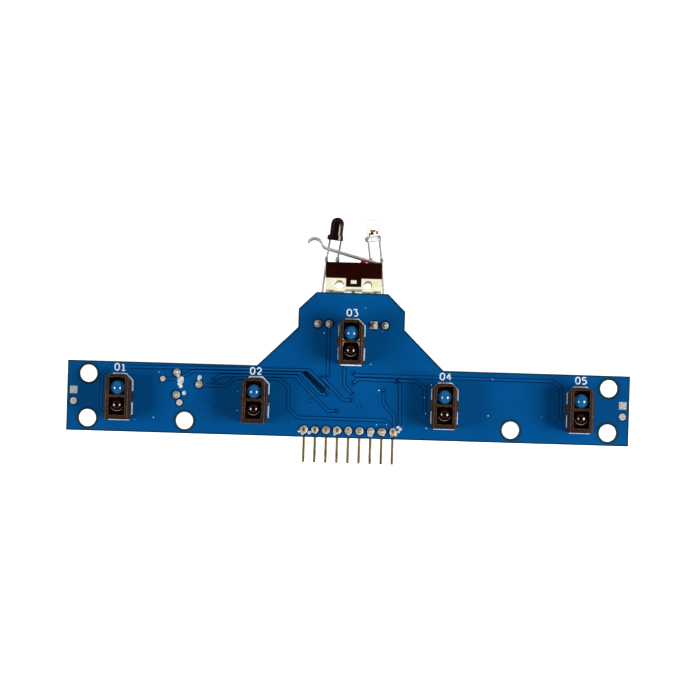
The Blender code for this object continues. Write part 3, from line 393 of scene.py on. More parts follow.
# Resin that passes only infrared looks like black coffee, with clean highlights and a rim painted a little
# lighter
dark_cast = cast_resin("infrared_pass_epoxy_cast", "2A0603", "1C0402", 0.1, Specular_IOR_Level=0.8)
smoky_cast = cast_resin("infrared_pass_lamp_cast", "2A0A04", "1C0603", 0.06, Specular_IOR_Level=0.4)
# The block under the domes is red-brown and dull, and a pale painted reflection arcs around the dark domes
die_block = plastic("lead_frame_block_moulded", "6A1A0C", "7C2210", 0.5, Specular_IOR_Level=0.3)
rim_reflection_paint = plastic("painted_rim_reflection", "B49C8C", "D8C8BC", 0.3)
# Water-clear resin: where its surface turns away, painted grey shade draws its outline
CLEAR = {"bend": (0.6, 1.0), "Transmission_Weight": 1.0}
clear_cast = cast_resin("water_clear_epoxy_cast", "C2BEC8", "FDFDFE", 0.03, **CLEAR)
print(len(bpy.data.materials), "materials")

# %% [markdown]
# ## Rounding the moulded and stamped pieces
# No real edge is perfectly sharp: a narrow round along it catches the light and separates the faces. A copy
# of each solid has its doubles merged and its flat faces joined up again, and then a bevel rounds what is
# sharp. The bevel's own faces can take a second material, which carries the hoods' worn edges and the painted
# highlight and shade on rounded edges.

# %% A rounded copy of a solid
SAME_POINT = 0.0005 * MM
BODY_OF = {node: body for body, nodes in frame["record"]["behaviour"]["bodies"].items() for node in nodes}


def finish_object(name, mesh, finishes, body, stands_for=(), smooth_below=35):
    """Turns a mesh into a piece: materials, shading, the body it rides on and the solids it stands for."""
    mesh.name = name
    for finish in finishes or ():
        mesh.materials.append(finish)
    mesh.shade_smooth()
    mesh.set_sharp_from_angle(angle=math.radians(smooth_below))
    piece = bpy.data.objects.new(name, mesh)
    scene.collection.objects.link(piece)
    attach(piece, body)
    if stands_for:
        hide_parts(*stands_for)
    return piece


def rounded(node, name, width, finishes, segments=2, edge_finish=0, sharp_above=30):
    """A copy of one solid with its sharp edges rounded to a width in millimetres."""
    shape = bmesh.new()
    shape.from_mesh(frame["nodes"][node].data)
    bmesh.ops.remove_doubles(shape, verts=shape.verts, dist=SAME_POINT)
    bmesh.ops.dissolve_limit(shape, angle_limit=math.radians(1), verts=shape.verts, edges=shape.edges)
    if width:
        sharp = [
            edge
            for edge in shape.edges
            if len(edge.link_faces) == 2 and edge.calc_face_angle(0) > math.radians(sharp_above)
        ]
        bmesh.ops.bevel(
            shape,
            geom=sharp,
            offset=width * MM,
            segments=segments,
            profile=0.5,
            affect="EDGES",
            clamp_overlap=True,
            material=edge_finish,
        )
    mesh = bpy.data.meshes.new(name)
    shape.to_mesh(mesh)
    shape.free()
    return finish_object(name, mesh, finishes, BODY_OF[node], [node])


# %% [markdown]
# The hoods are worn and carry a painted highlight along every edge of the box, but the clips at their sides,
# which sit low in shade, get no painted highlight and stay the plain dark resin. The moulded, stamped and
# drawn pieces differ in how wide their edges are rounded: a wide round on a moulding, and hardly any on thin
# strip.

# %% Moulded, stamped and drawn pieces
HOOD_HALF_WIDTH = 2.82 * MM
for n in range(1, 6):
    hood = rounded(f"sensor_{n}_housing", f"sensor_{n}_hood", 0.16, [hood_resin, hood_wear_and_highlight], 2, 1)
    hood_x = middle_of(f"sensor_{n}_housing").x
    # The clips sit in shade, so their faces go back to the plain resin, without the painted highlight
    for face in hood.data.polygons:
        if abs(face.center.x - hood_x) > HOOD_HALF_WIDTH:
            face.material_index = 0
# The cream base's rounded edges take the darker finish as painted shade
rounded("switch_base", "switch_base_moulding", 0.08, [cream_pbt, cream_edge_painted_shade], 2, 1)
# The cover's rounded edges take the lighter finish as a painted highlight
rounded("switch_cover", "switch_cover_moulding", 0.08, [cover_resin, cover_edge_painted_highlight], 2, 1)
rounded("switch_plunger", "switch_plunger_moulding", 0.06, [red_acetal])
rounded("switch_lever", "switch_lever_strip", 0.05, [spring_steel])
rounded("header_body", "header_strip", 0.08, [black_nylon])
rounded("trimmer_body", "trimmer_case", 0.15, [trimmer_resin])
rounded("trimmer_rotor", "trimmer_dial", 0.08, [white_acetal])
for n in range(1, 10):
    rounded(f"header_pin_{n}", f"header_pin_{n}_drawn", 0.08, [pin_metal])
for n in range(1, 4):
    rounded(f"trimmer_terminal_{n}", f"trimmer_leg_{n}", 0.06, [tinned_wire])
for kind in ("closed", "open", "common"):
    rounded(f"switch_terminal_{kind}", f"switch_tail_{kind}", 0.06, [tinned_wire])
rounded("switch_contact_blade", "switch_snap_blade", 0.03, [contact_alloy])
for kind in ("receiver", "emitter"):
    for side in ("left", "right"):
        rounded(f"{kind}_lead_{side}", f"{kind}_wire_{side}", 0.05, [tinned_wire])
print("edges rounded on the hoods, the switch, the header, the trimmer and the wires")

# %% [markdown]
# ## Surface-mount parts
# The chip is one solid with its leads, and each small part is one solid with its end caps. Their finish
# changes by place: whatever lies beyond the moulded body or the fired middle is tinned metal.

# %% Parts whose ends are tinned
CHIP_BODY_HALF = 2.02 * MM  # across the chip, from its middle to where the leads come out
CAP_START = 0.6 * MM  # along a small part, from its middle to its end caps


def tin_ends(piece, axis, start):
    """Gives the second finish to the faces that lie further than start from the middle along an axis."""
    corners = [vert.co[axis] for vert in piece.data.vertices]
    middle = (min(corners) + max(corners)) / 2
    for face in piece.data.polygons:
        face.material_index = int(abs(face.center[axis] - middle) > start)


ACROSS_CHIP = 1  # its leads come out along Y
chip = rounded("logic_chip", "logic_chip_moulded", 0.06, [chip_epoxy, tinned_wire])
tin_ends(chip, ACROSS_CHIP, CHIP_BODY_HALF)
SMALL_PARTS = {f"indicator_{n}": indicator_resin for n in range(1, 6)}
SMALL_PARTS |= {f"sensor_resistor_{n}": resistor_glaze for n in range(1, 6)}
SMALL_PARTS |= {"bump_indicator": indicator_resin, "proximity_indicator": indicator_resin}
SMALL_PARTS["supply_capacitor"] = ceramic_tan
for node, finish in SMALL_PARTS.items():
    low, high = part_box(node)
    along = int(high.y - low.y > high.x - low.x)
    tin_ends(rounded(node, node + "_fired", 0.05, [finish, tinned_wire]), along, CAP_START)
print(len(SMALL_PARTS), "small parts with tinned ends")

# %% [markdown]
# The board needs no copy: its corners are sawn and stay sharp, so its own solid takes the mask.

# %% The board's finish
board_mesh = frame["nodes"]["circuit_board"].data
board_mesh.materials.clear()
board_mesh.materials.append(mask_on_copper)
print("board", len(board_mesh.polygons), "faces")

# %% [markdown]
# ## Lenses
# Each line sensor has a blue and a smoky dome standing on a dark block, and the proximity pair is two cast
# lamps with a flange and a flat. They are lathed finer than the solids they stand for, so that the lights
# show as clean dots and lines. Inside the clear lamp a gilt cup and a post can be seen.


# %% Lathed and boxed shapes
def lathe(profile, steps=48):
    """A closed round mesh about Z, from (radius, height) points in mm that begin and end on the axis."""
    points, rings, faces = [], [], []
    for radius, height in profile:
        count = steps if radius else 1
        rings.append([len(points) + i for i in range(count)])
        turns = [2 * math.pi * i / steps for i in range(count)]
        points += [(radius * MM * math.cos(a), radius * MM * math.sin(a), height * MM) for a in turns]
    for low, high in zip(rings, rings[1:]):
        for i in range(steps):
            corners = [ring[(i + j) % len(ring)] for ring, j in ((low, 0), (low, 1), (high, 1), (high, 0))]
            faces.append(list(dict.fromkeys(corners)))
    mesh = bpy.data.meshes.new("lathed")
    mesh.from_pydata(points, [], faces)
    return mesh


def block(low, high, edge=0.05):
    """A box between two corners in metres, its edges rounded to a width in millimetres."""
    low, high = Vector(low), Vector(high)
    shape = bmesh.new()
    bmesh.ops.create_cube(shape, size=1.0)
    for vert in shape.verts:
        vert.co = (low + high) / 2 + vert.co * (high - low)
    bmesh.ops.bevel(shape, geom=shape.edges[:], offset=edge * MM, segments=2, profile=0.5, affect="EDGES")
    mesh = bpy.data.meshes.new("box")
    shape.to_mesh(mesh)
    shape.free()
    return mesh


def joined(parts):
    """One mesh out of (mesh, place, finish number) parts."""
    whole = bmesh.new()
    for part, place, finish in parts:
        part.transform(place)
        part.polygons.foreach_set("material_index", [finish] * len(part.polygons))
        whole.from_mesh(part)
    mesh = bpy.data.meshes.new("joined")
    whole.to_mesh(mesh)
    whole.free()
    return mesh


def crown(radius, top, steps=12):
    """Profile points over a half-round end, from its side to the axis."""
    turns = [math.pi / 2 * i / steps for i in range(steps)]
    return [(radius * math.cos(a), top - radius + radius * math.sin(a)) for a in turns] + [(0, top)]


# %% [markdown]
# In each hood the emitter and the detector are half-round domes on a dark block. Two square leads come down
# from each block through the board. Dome, block and leads are one part of the real sensor, so they're one
# mesh with three finishes.

# %% Domes of the line sensors
DOME_RADIUS, DOME_TOP, BLOCK_TOP = 1.55, 6.6, 3.6
SENSOR_LEAD_X, SENSOR_LEAD_HALF = 1.27 * MM, 0.25 * MM
STAY = Matrix()
DOME_Y = {"emitter": 2.1, "detector": -1.75}
DOME_FINISH = {"emitter": blue_cast, "detector": dark_cast}
for n, (x, y) in enumerate(SENSORS, 1):
    for kind, dome_y in DOME_Y.items():
        node = f"sensor_{n}_{kind}"
        low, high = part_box(node)
        foot = on_board((x, y + dome_y))
        dome = lathe([(0, BLOCK_TOP / 2), (DOME_RADIUS, BLOCK_TOP / 2)] + crown(DOME_RADIUS, DOME_TOP))
        base = block((low.x, low.y, FACE), (high.x, high.y, FACE + BLOCK_TOP * MM), 0.1)
        parts = [(dome, Matrix.Translation(foot), 0), (base, STAY, 1)]
        for side in (-SENSOR_LEAD_X, SENSOR_LEAD_X):
            reach = Vector((SENSOR_LEAD_HALF, SENSOR_LEAD_HALF, 0))
            near = Vector((foot.x + side, foot.y, low.z)) - reach
            far = Vector((foot.x + side, foot.y, FACE + MM)) + reach
            parts.append((block(near, far), STAY, 2))
        finishes = [DOME_FINISH[kind], die_block, tinned_wire]
        finish_object(node + "_cast", joined(parts), finishes, BODY_OF[node], [node])
print(len(SENSORS) * len(DOME_Y), "domes on their blocks")

# %% [markdown]
# The lamps are cast in the usual 3 mm shape: a flange with a flat on one side, a straight body and a round
# end. They lie on bent leads ahead of the switch, each turned a little. A lathed profile is cut along the
# flat, then laid down. The leads widen at a shoulder where they were cut from their strip.

# %% Lamps of the proximity pair
LAMP_RADIUS, LAMP_LENGTH, FLANGE_RADIUS, FLANGE, FLAT = 1.5, 5.3, 1.95, 1.1, 1.7
ROUNDING = 0.08
LAMPS = {
    "proximity_receiver_lens": ((-4.0, 37.15), -5.4, -4.7, smoky_cast),
    "proximity_emitter_lens": ((4.8, 37.15), 8.0, 5.5, clear_cast),
}
SHOULDER_Y, SHOULDER_HALF = 32.7, (0.45, 0.6, 0.27)
lamp_places, shoulders = {}, []
for node, (base, yaw, kink_x, finish) in LAMPS.items():
    low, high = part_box(node)
    level = (low.z + high.z) / 2
    rim = [(FLANGE_RADIUS - ROUNDING, 0), (FLANGE_RADIUS, ROUNDING), (FLANGE_RADIUS, FLANGE - ROUNDING)]
    rim += [(FLANGE_RADIUS - ROUNDING, FLANGE), (LAMP_RADIUS, FLANGE)]
    shape = bmesh.new()
    shape.from_mesh(lathe([(0, 0)] + rim + crown(LAMP_RADIUS, LAMP_LENGTH)))
    whole = shape.verts[:] + shape.edges[:] + shape.faces[:]
    plane = {"plane_co": (FLAT * MM, 0, 0), "plane_no": (1, 0, 0)}
    opened = bmesh.ops.bisect_plane(shape, geom=whole, clear_outer=True, **plane)["geom_cut"]
    bmesh.ops.holes_fill(shape, edges=[e for e in opened if isinstance(e, bmesh.types.BMEdge)])
    mesh = bpy.data.meshes.new("lamp")
    shape.to_mesh(mesh)
    shape.free()
    turn = Matrix.Rotation(math.radians(yaw), 4, "Z") @ Matrix.Rotation(math.radians(-90), 4, "X")
    lamp_places[node] = Matrix.Translation(on_board(base, level)) @ turn
    mesh.transform(lamp_places[node])
    finish_object(node + "_cast", mesh, [finish], BODY_OF[node], [node])
    for side in (-SENSOR_LEAD_X, SENSOR_LEAD_X):
        middle = on_board((kink_x, SHOULDER_Y), level) + Vector((side, 0, 0))
        half = Vector(SHOULDER_HALF) * MM
        shoulders.append((block(middle - half, middle + half, 0.1), STAY, 0))
finish_object("lamp_lead_shoulders", joined(shoulders), [tinned_wire], "board")
print(len(LAMPS), "lamps and", len(shoulders), "lead shoulders")

# %% [markdown]
# Through the clear resin a gilt cup, its post and the bond post beside it can be seen, on grey feet. They are
# placed in the lamp's own millimetres, x across and z up from its base, and laid down with the lamp.

# %% The lead frame inside the clear lamp
FRAME_THIN = 0.2


def flat_bar(x0, z0, x1, z1):
    """A flat bar of the lead frame between two corners."""
    return block((x0 * MM, -FRAME_THIN * MM, z0 * MM), (x1 * MM, FRAME_THIN * MM, z1 * MM), 0.04)


cup = lathe([(0, 2.1), (0.3, 2.1), (0.55, 2.65), (0.48, 2.65), (0.22, 2.25), (0, 2.25)], 24)
inside = lamp_places["proximity_emitter_lens"]
gilt_parts = [cup, flat_bar(-0.65, 1.5, 0.1, 2.1), flat_bar(0.45, 1.6, 0.75, 2.3)]
grey_parts = [flat_bar(-1.5, 0.5, -0.3, 1.0), flat_bar(-0.65, 0.9, -0.35, 1.5), flat_bar(0.5, 0.5, 1.5, 1.0)]
parts = [(part, inside, 0) for part in gilt_parts] + [(part, inside, 1) for part in grey_parts]
finish_object("lamp_lead_frame", joined(parts), [gilt, tinned_wire], "board")
print("lead frame of", len(parts), "parts")

# %% [markdown]
# ## Tracks, rings and ink as ribbons
# Copper under the mask shows as a slightly raised, lighter band, with a dark line on either side where the
# copper was etched away. Ink outlines are bands too. All of them follow a path with a constant width, so one
# geometry tree serves them all: lines become curves, corners are rounded, and a flat section is swept along.


# %% The ribbon tree
def new_tree(name, inputs):
    """An empty geometry tree with a geometry input and output, and named inputs with their defaults."""
    tree = bpy.data.node_groups.new(name, "GeometryNodeTree")
    tree.interface.new_socket("Geometry", in_out="INPUT", socket_type="NodeSocketGeometry")
    for label, (kind, default) in inputs.items():
        socket = tree.interface.new_socket(label, in_out="INPUT", socket_type="NodeSocket" + kind)
        if default is not None:
            socket.default_value = default
    tree.interface.new_socket("Geometry", in_out="OUTPUT", socket_type="NodeSocketGeometry")
    return tree, add(tree, "NodeGroupInput").outputs


def close_tree(tree, geometry, finish):
    """The end of every tree: instances made real, the material set, and the result put out."""
    real = add(tree, "GeometryNodeRealizeInstances", links={"Geometry": geometry})
    painted = add(tree, "GeometryNodeSetMaterial", links={"Geometry": real.outputs[0], "Material": finish})
    add(tree, "NodeGroupOutput", links={"Geometry": painted.outputs[0]})


ribbon_tree, given = new_tree(
    "ribbon",
    {
        "Width": ("Float", 0.4 * MM),
        "Thickness": ("Float", 0.03 * MM),
        "Corner Radius": ("Float", 0.2 * MM),
        "Finish": ("Material", None),
    },
)
path = add(ribbon_tree, "GeometryNodeMeshToCurve", links={"Mesh": given["Geometry"]})
# A normal that points up keeps the section flat on the board through every turn
path = add(ribbon_tree, "GeometryNodeSetCurveNormal", links={"Curve": path.outputs[0]}, mode="Z_UP")
path = add(
    ribbon_tree,
    "GeometryNodeFilletCurve",
    {"Count": 3, "Limit Radius": True},
    {"Curve": path.outputs[0], "Radius": given["Corner Radius"]},
    mode="POLY",
)
section = add(
    ribbon_tree,
    "GeometryNodeCurvePrimitiveQuadrilateral",
    links={"Width": given["Width"], "Height": given["Thickness"]},
)
band = add(
    ribbon_tree,
    "GeometryNodeCurveToMesh",
    {"Fill Caps": True},
    {"Curve": path.outputs[0], "Profile Curve": section.outputs[0]},
)
close_tree(ribbon_tree, band.outputs[0], given["Finish"])
print("ribbon tree", len(ribbon_tree.nodes), "nodes")

# %% [markdown]
# A tree is run over a mesh that holds only points or lines, and what it made is kept as a plain mesh. Every
# such piece is fixed to the board.


# %% Growing a piece from a tree
def grow(name, tree, seed_mesh, sizes):
    """Runs a tree over a mesh of points or lines, and keeps the result as a mesh that rides on the board."""
    carrier = bpy.data.objects.new(name + "_seed", seed_mesh)
    scene.collection.objects.link(carrier)
    modifier = carrier.modifiers.new("tree", "NODES")
    modifier.node_group = tree
    for item in tree.interface.items_tree:
        if item.in_out == "INPUT" and item.name in sizes:
            modifier[item.identifier] = sizes[item.name]
    evaluated = carrier.evaluated_get(bpy.context.evaluated_depsgraph_get())
    mesh = bpy.data.meshes.new_from_object(evaluated)
    carrier.modifiers.clear()
    bpy.data.objects.remove(carrier)
    print(name, len(mesh.polygons), "faces")
    return finish_object(name, mesh, None, "board")


def lines_mesh(paths, level):
    """Edges only, from lists of board places at one height. A path that returns to its start is closed."""
    points, edges = [], []
    for path in paths:
        closed = path[0] == path[-1]
        path = path[:-1] if closed else path
        first = len(points)
        points += [on_board(place, level) for place in path]
        edges += [(first + i, first + i + 1) for i in range(len(path) - 1)]
        if closed:
            edges.append((first + len(path) - 1, first))
    mesh = bpy.data.meshes.new("lines")
    mesh.from_pydata(points, edges, [])
    return mesh


def ring_path(centre, radius, corners=24):
    """A closed path round a place, in millimetres."""
    turns = [2 * math.pi * i / corners for i in range(corners)]
    ring = [(centre[0] + radius * math.cos(a), centre[1] + radius * math.sin(a)) for a in turns]
    return ring + ring[:1]


# %% [markdown]
# The tracks run from the sensors and the lamps to the chip and the pin header. They turn at 45 degrees, as
# routing software draws them, and end in small vias that take them through to the other side.

# %% Routes of the tracks, in millimetres
TRACKS = [
    [(-55.2, -3.6), (-56.2, -2.6), (-56.2, 4.8), (-54.4, 6.75), (-35.6, 7.0), (-9.1, 7.2), (-5.0, 3.2)],
    [(-39.1, 5.0), (-37.6, 5.0), (-35.7, 6.2), (-13.4, 6.5), (-11.0, 6.5), (-6.3, 1.9), (-4.75, 1.9)],
    [(-30.9, 4.2), (-29.1, 5.5), (-13.4, 5.8), (-12.2, 5.8), (-4.6, -1.9), (-2.5, -1.8)],
    [(-34.1, 3.1), (-27.8, 3.1), (-25.9, 5.0), (-15.9, 5.05), (-13.7, 3.2), (-13.6, -1.5), (-11.4, -3.6)]
    + [(8.65, -3.7), (9.9, -5.0)],
    [(-6.4, 6.0), (-1.2, 0.75), (0.87, 0.62)],
    [(-4.89, 17.6), (-4.86, 5.75)],
    [(-1.1, 8.6), (-1.0, 4.05), (1.0, 2.0)],
    [(0.84, 6.9), (1.56, 6.4), (46.4, 6.35), (48.3, 4.9), (48.45, -1.6), (49.4, -2.6)],
    [(0.76, 4.44), (2.2, 5.6), (15.5, 5.35), (17.4, 3.9), (17.5, -1.5), (18.7, -2.6)],
    [(8.0, 3.1), (8.1, 0.13), (10.6, -2.6), (10.7, -5.4)],
    [(11.0, 5.2), (11.7, 4.4), (11.9, -4.6), (10.9, -5.6)],
    [(-42.3, 4.35), (-39.6, 4.35)],
]
VIAS = [(-5.0, 3.2), (-4.75, 1.9), (-2.5, -1.8), (-6.4, 6.0), (0.87, 0.62), (-4.86, 5.75), (1.0, 2.0)]
VIAS += [(0.84, 6.9), (0.76, 4.44), (8.0, 3.1), (11.0, 5.2), (-30.9, 4.2), (-8.7, 0.33), (2.64, -0.63)]
print(len(TRACKS), "tracks and", len(VIAS), "vias")

# %% [markdown]
# Each track is drawn twice: first a wide dark band, which is the etched gap, and then the narrower, lighter
# track on top of it. What stays in sight of the band is a dark line on both sides. Vias are rings made the
# same way, and a patch beside them has no copper at all.

# %% Tracks, vias and the bare patch
TRACK_WIDTH = 0.42 * MM
GAP_WIDTH = 0.95 * MM  # track and the etched lines on both its sides
LAYER = 0.012 * MM  # how far each printed layer stands above the one below
ETCH = {"Width": GAP_WIDTH, "Thickness": 2 * LAYER, "Corner Radius": 0.3 * MM, "Finish": mask_on_laminate}
grow("etched_gaps", ribbon_tree, lines_mesh(TRACKS, FACE), ETCH)
etched_rings = [ring_path(place, 0.42) for place in VIAS]
grow("etched_via_rings", ribbon_tree, lines_mesh(etched_rings, FACE), {**ETCH, "Width": 0.36 * MM})
COPPER = {**ETCH, "Width": TRACK_WIDTH, "Finish": mask_on_track}
grow("raised_tracks", ribbon_tree, lines_mesh(TRACKS, FACE + LAYER), COPPER)
via_rings = [ring_path(place, 0.26) for place in VIAS]
grow("via_rings", ribbon_tree, lines_mesh(via_rings, FACE + LAYER), {**COPPER, "Width": 0.3 * MM})
BARE_PATCH = [[(-10.4, 6.85), (-5.6, 2.2)], [(-10.0, 6.95), (-5.2, 2.6)]]
grow("etched_patch", ribbon_tree, lines_mesh(BARE_PATCH, FACE), {**ETCH, "Width": 0.8 * MM})

# %% [markdown]
# The copper keeps clear of the screw holes and of the sawn outline, so a darker margin of mask over bare
# laminate runs around them, and the drill has chipped a brown thread out of each hole's rim.

# %% Rings around the screw holes
HOLE_X, INNER_HOLE_X, HOLE_Y = 59.2, 37.1, 5.05
MOUNT_HOLES = [(x, y) for x in (-HOLE_X, HOLE_X) for y in (HOLE_Y, -HOLE_Y)]
MOUNT_HOLES += [(-INNER_HOLE_X, -HOLE_Y), (INNER_HOLE_X, -HOLE_Y)]
HOLE_RADIUS, RING_RADIUS, HOLE_CORNERS = 2.0, 2.28, 48
RING = {"Width": 0.5 * MM, "Thickness": 2 * LAYER, "Corner Radius": 0.0, "Finish": bare_margin}
hole_rings = [ring_path(place, RING_RADIUS, HOLE_CORNERS) for place in MOUNT_HOLES]
grow("screw_hole_rings", ribbon_tree, lines_mesh(hole_rings, FACE), RING)
hole_rims = [ring_path(place, HOLE_RADIUS, HOLE_CORNERS) for place in MOUNT_HOLES]
RIM = {**RING, "Width": 0.14 * MM, "Finish": drilled_rim}
grow("screw_hole_rims", ribbon_tree, lines_mesh(hole_rims, FACE), RIM)

# %% [markdown]
# The same thin mask shows as a margin along the sawn outline. Its path is the outline itself, drawn in by
# half the width of the band.

# %% The margin along the sawn outline
OUTLINE_HALF, STRIP_HALF, MARGIN = 64.0, 8.0, 0.2
NOSE = [(21.5, 8.0), (12.4, 17.0), (12.4, 21.2), (8.45, 25.1)]
NOSE_LEFT = [(-7.95, 25.1), (-11.9, 21.2), (-11.9, 17.0), (-21.0, 8.0)]
board_edge = [(OUTLINE_HALF, STRIP_HALF), *NOSE, *NOSE_LEFT, (-OUTLINE_HALF, STRIP_HALF)]
board_edge += [(-OUTLINE_HALF, -STRIP_HALF), (OUTLINE_HALF, -STRIP_HALF)]
inner = [(x - math.copysign(MARGIN, x), y - math.copysign(MARGIN, y)) for x, y in board_edge]
EDGE = {"Width": 0.4 * MM, "Thickness": LAYER, "Corner Radius": 0.0, "Finish": bare_margin}
grow("edge_margin", ribbon_tree, lines_mesh([inner + inner[:1]], FACE), EDGE)

# %% [markdown]
# White ink shows where each sensor sits: a box with its front corners cut, open at the clips. The sensors
# were pressed in by hand and stand a little off their outlines, more on one side than on the other.

# %% Ink outlines of the sensors
SILK_HALF_WIDTH, SILK_FRONT, SILK_REAR, SILK_CORNER = 2.95, 5.2, -5.25, 1.5
CLIP_BREAK = 1.3  # the outline stops beside the clips
SILK_SIDE_END, SILK_REAR_HALF = -4.1, 2.35  # and at its rear corners
SET_OFF = [(0.12, 0.0), (0.3, 0.15), (0.15, 0.0), (0.1, 0.0), (0.1, 0.0)]  # from each sensor to its outline
outlines = []
for (sensor_x, sensor_y), (off_x, off_y) in zip(SENSORS, SET_OFF):
    x, y = sensor_x + off_x, sensor_y + off_y
    corner = [(SILK_HALF_WIDTH, CLIP_BREAK), (SILK_HALF_WIDTH, SILK_FRONT - SILK_CORNER)]
    corner += [(SILK_HALF_WIDTH - SILK_CORNER, SILK_FRONT), (0, SILK_FRONT)]
    rear = [(SILK_HALF_WIDTH, -CLIP_BREAK), (SILK_HALF_WIDTH, SILK_SIDE_END)]
    behind = [(0, SILK_REAR), (SILK_REAR_HALF, SILK_REAR)]
    for side in (-1, 1):
        outlines += [[(x + side * a, y + b) for a, b in stretch] for stretch in (corner, rear, behind)]
INK_LEVEL = FACE + 2.5 * LAYER  # above the tracks, which the ink crosses
OUTLINE = {"Width": 0.28 * MM, "Thickness": 2 * LAYER, "Corner Radius": 0.0, "Finish": ink}
grow("sensor_outlines", ribbon_tree, lines_mesh(outlines, INK_LEVEL), OUTLINE)

# %% [markdown]
# ## Numbers
# Each sensor is numbered from 01 to 05 in drawn strokes, like the lettering that plotting pens gave boards.
# A digit is a few lines in a box, so the same ribbon tree inks it, with round corners.

# %% Stroke digits
DIGITS = {
    "0": [[(0.3, 0), (0, 0.3), (0, 1.1), (0.3, 1.4), (0.6, 1.4), (0.9, 1.1), (0.9, 0.3), (0.6, 0), (0.3, 0)]],
    "1": [[(0.15, 1.1), (0.45, 1.4), (0.45, 0)], [(0.1, 0), (0.8, 0)]],
    "2": [[(0, 1.1), (0.3, 1.4), (0.6, 1.4), (0.9, 1.1), (0.9, 0.85), (0, 0), (0.95, 0)]],
    "3": [[(0, 1.4), (0.85, 1.4), (0.4, 0.85), (0.65, 0.8), (0.9, 0.55), (0.9, 0.3), (0.6, 0), (0.2, 0)]],
    "4": [[(0.65, 0), (0.65, 1.4)], [(0.62, 1.35), (0.02, 0.45)], [(0, 0.45), (0.95, 0.45)]],
    "5": [[(0.85, 1.4), (0.1, 1.4), (0.05, 0.8), (0.55, 0.85), (0.9, 0.6), (0.9, 0.3), (0.6, 0), (0.1, 0)]],
}
DIGIT_PITCH, DIGIT_SCALE = 1.45, 1.06
NUMBER_X, NUMBER_Y = 0.4, 5.95  # from a sensor's middle to the foot of its number's second digit
strokes = []
for n, (x, y) in enumerate(SENSORS, 1):
    for i, digit in enumerate(f"{n:02d}"):
        left, foot = x + NUMBER_X + (i - 1) * DIGIT_PITCH, y + NUMBER_Y
        for stroke in DIGITS[digit]:
            strokes.append([(left + a * DIGIT_SCALE, foot + b * DIGIT_SCALE) for a, b in stroke])
LETTERING = {**OUTLINE, "Width": 0.25 * MM, "Corner Radius": 0.15 * MM}
grow("sensor_numbers", ribbon_tree, lines_mesh(strokes, INK_LEVEL), LETTERING)

# %% [markdown]
# ## Solder joints
# Molten solder climbs a lead in a hollow curve and freezes there, and no two joints are quite alike. So
# their surface is pushed in and out by noise, after the copies are made real, which leaves each one uneven
# in its own way. The same ending serves the tree of lumps further on.


# %% The end of a tree whose copies are uneven
def close_uneven_tree(tree, copies, noise, given):
    """Makes copies real, pushes their surfaces in and out by noise, and puts them out with the finish."""
    real = add(tree, "GeometryNodeRealizeInstances", links={"Geometry": copies})
    centred = add(tree, "ShaderNodeMath", {1: 0.5}, {0: noise}, operation="SUBTRACT").outputs[0]
    push = add(tree, "ShaderNodeMath", links={0: centred, 1: given["Unevenness"]}, operation="MULTIPLY")
    outward = {"Vector": add(tree, "GeometryNodeInputNormal").outputs[0], "Scale": push.outputs[0]}
    offset = add(tree, "ShaderNodeVectorMath", links=outward, operation="SCALE").outputs["Vector"]
    uneven = add(tree, "GeometryNodeSetPosition", links={"Geometry": real.outputs[0], "Offset": offset})
    close_tree(tree, uneven.outputs[0], given["Finish"])


# %% [markdown]
# The shape of a joint is a circle swept up a short line, with a radius that follows the hollow curve. It is
# put on every point of the mesh that the tree is given, and turned over for the other side of the board.

# %% The joint tree
joint_tree, given = new_tree(
    "solder_joint",
    {
        "Pad Radius": ("Float", 0.85 * MM),
        "Height": ("Float", 0.7 * MM),
        "Unevenness": ("Float", 0.12 * MM),
        "Turn": ("Vector", (0, 0, 0)),
        "Seed": ("Int", 4),
        "Finish": ("Material", None),
    },
)
tip = add(joint_tree, "ShaderNodeCombineXYZ", links={"Z": given["Height"]})
rise = add(joint_tree, "GeometryNodeCurvePrimitiveLine", links={"End": tip.outputs[0]})
rise = add(joint_tree, "GeometryNodeResampleCurve", {"Count": 12}, {"Curve": rise.outputs[0]})
along = add(joint_tree, "GeometryNodeSplineParameter")
hollow = add(joint_tree, "ShaderNodeFloatCurve", links={"Value": along.outputs["Factor"]})
HOLLOW = [(0.0, 1.0), (0.12, 0.93), (0.35, 0.66), (0.7, 0.44), (0.92, 0.32), (1.0, 0.05)]
curve = hollow.mapping.curves[0]
for at in HOLLOW[1:-1]:
    curve.points.new(*at)
curve.points[0].location, curve.points[-1].location = HOLLOW[0], HOLLOW[-1]
hollow.mapping.update()
radii = {0: hollow.outputs[0], 1: given["Pad Radius"]}
radius = add(joint_tree, "ShaderNodeMath", links=radii, operation="MULTIPLY").outputs[0]
rise = add(joint_tree, "GeometryNodeSetCurveRadius", links={"Curve": rise.outputs[0], "Radius": radius})
rim = add(joint_tree, "GeometryNodeCurvePrimitiveCircle", {"Resolution": 28, "Radius": 1.0})
joint = add(
    joint_tree,
    "GeometryNodeCurveToMesh",
    {"Fill Caps": True},
    {
        "Curve": rise.outputs[0],
        "Profile Curve": rim.outputs[0],
        "Scale": add(joint_tree, "GeometryNodeInputRadius").outputs[0],
    },
)
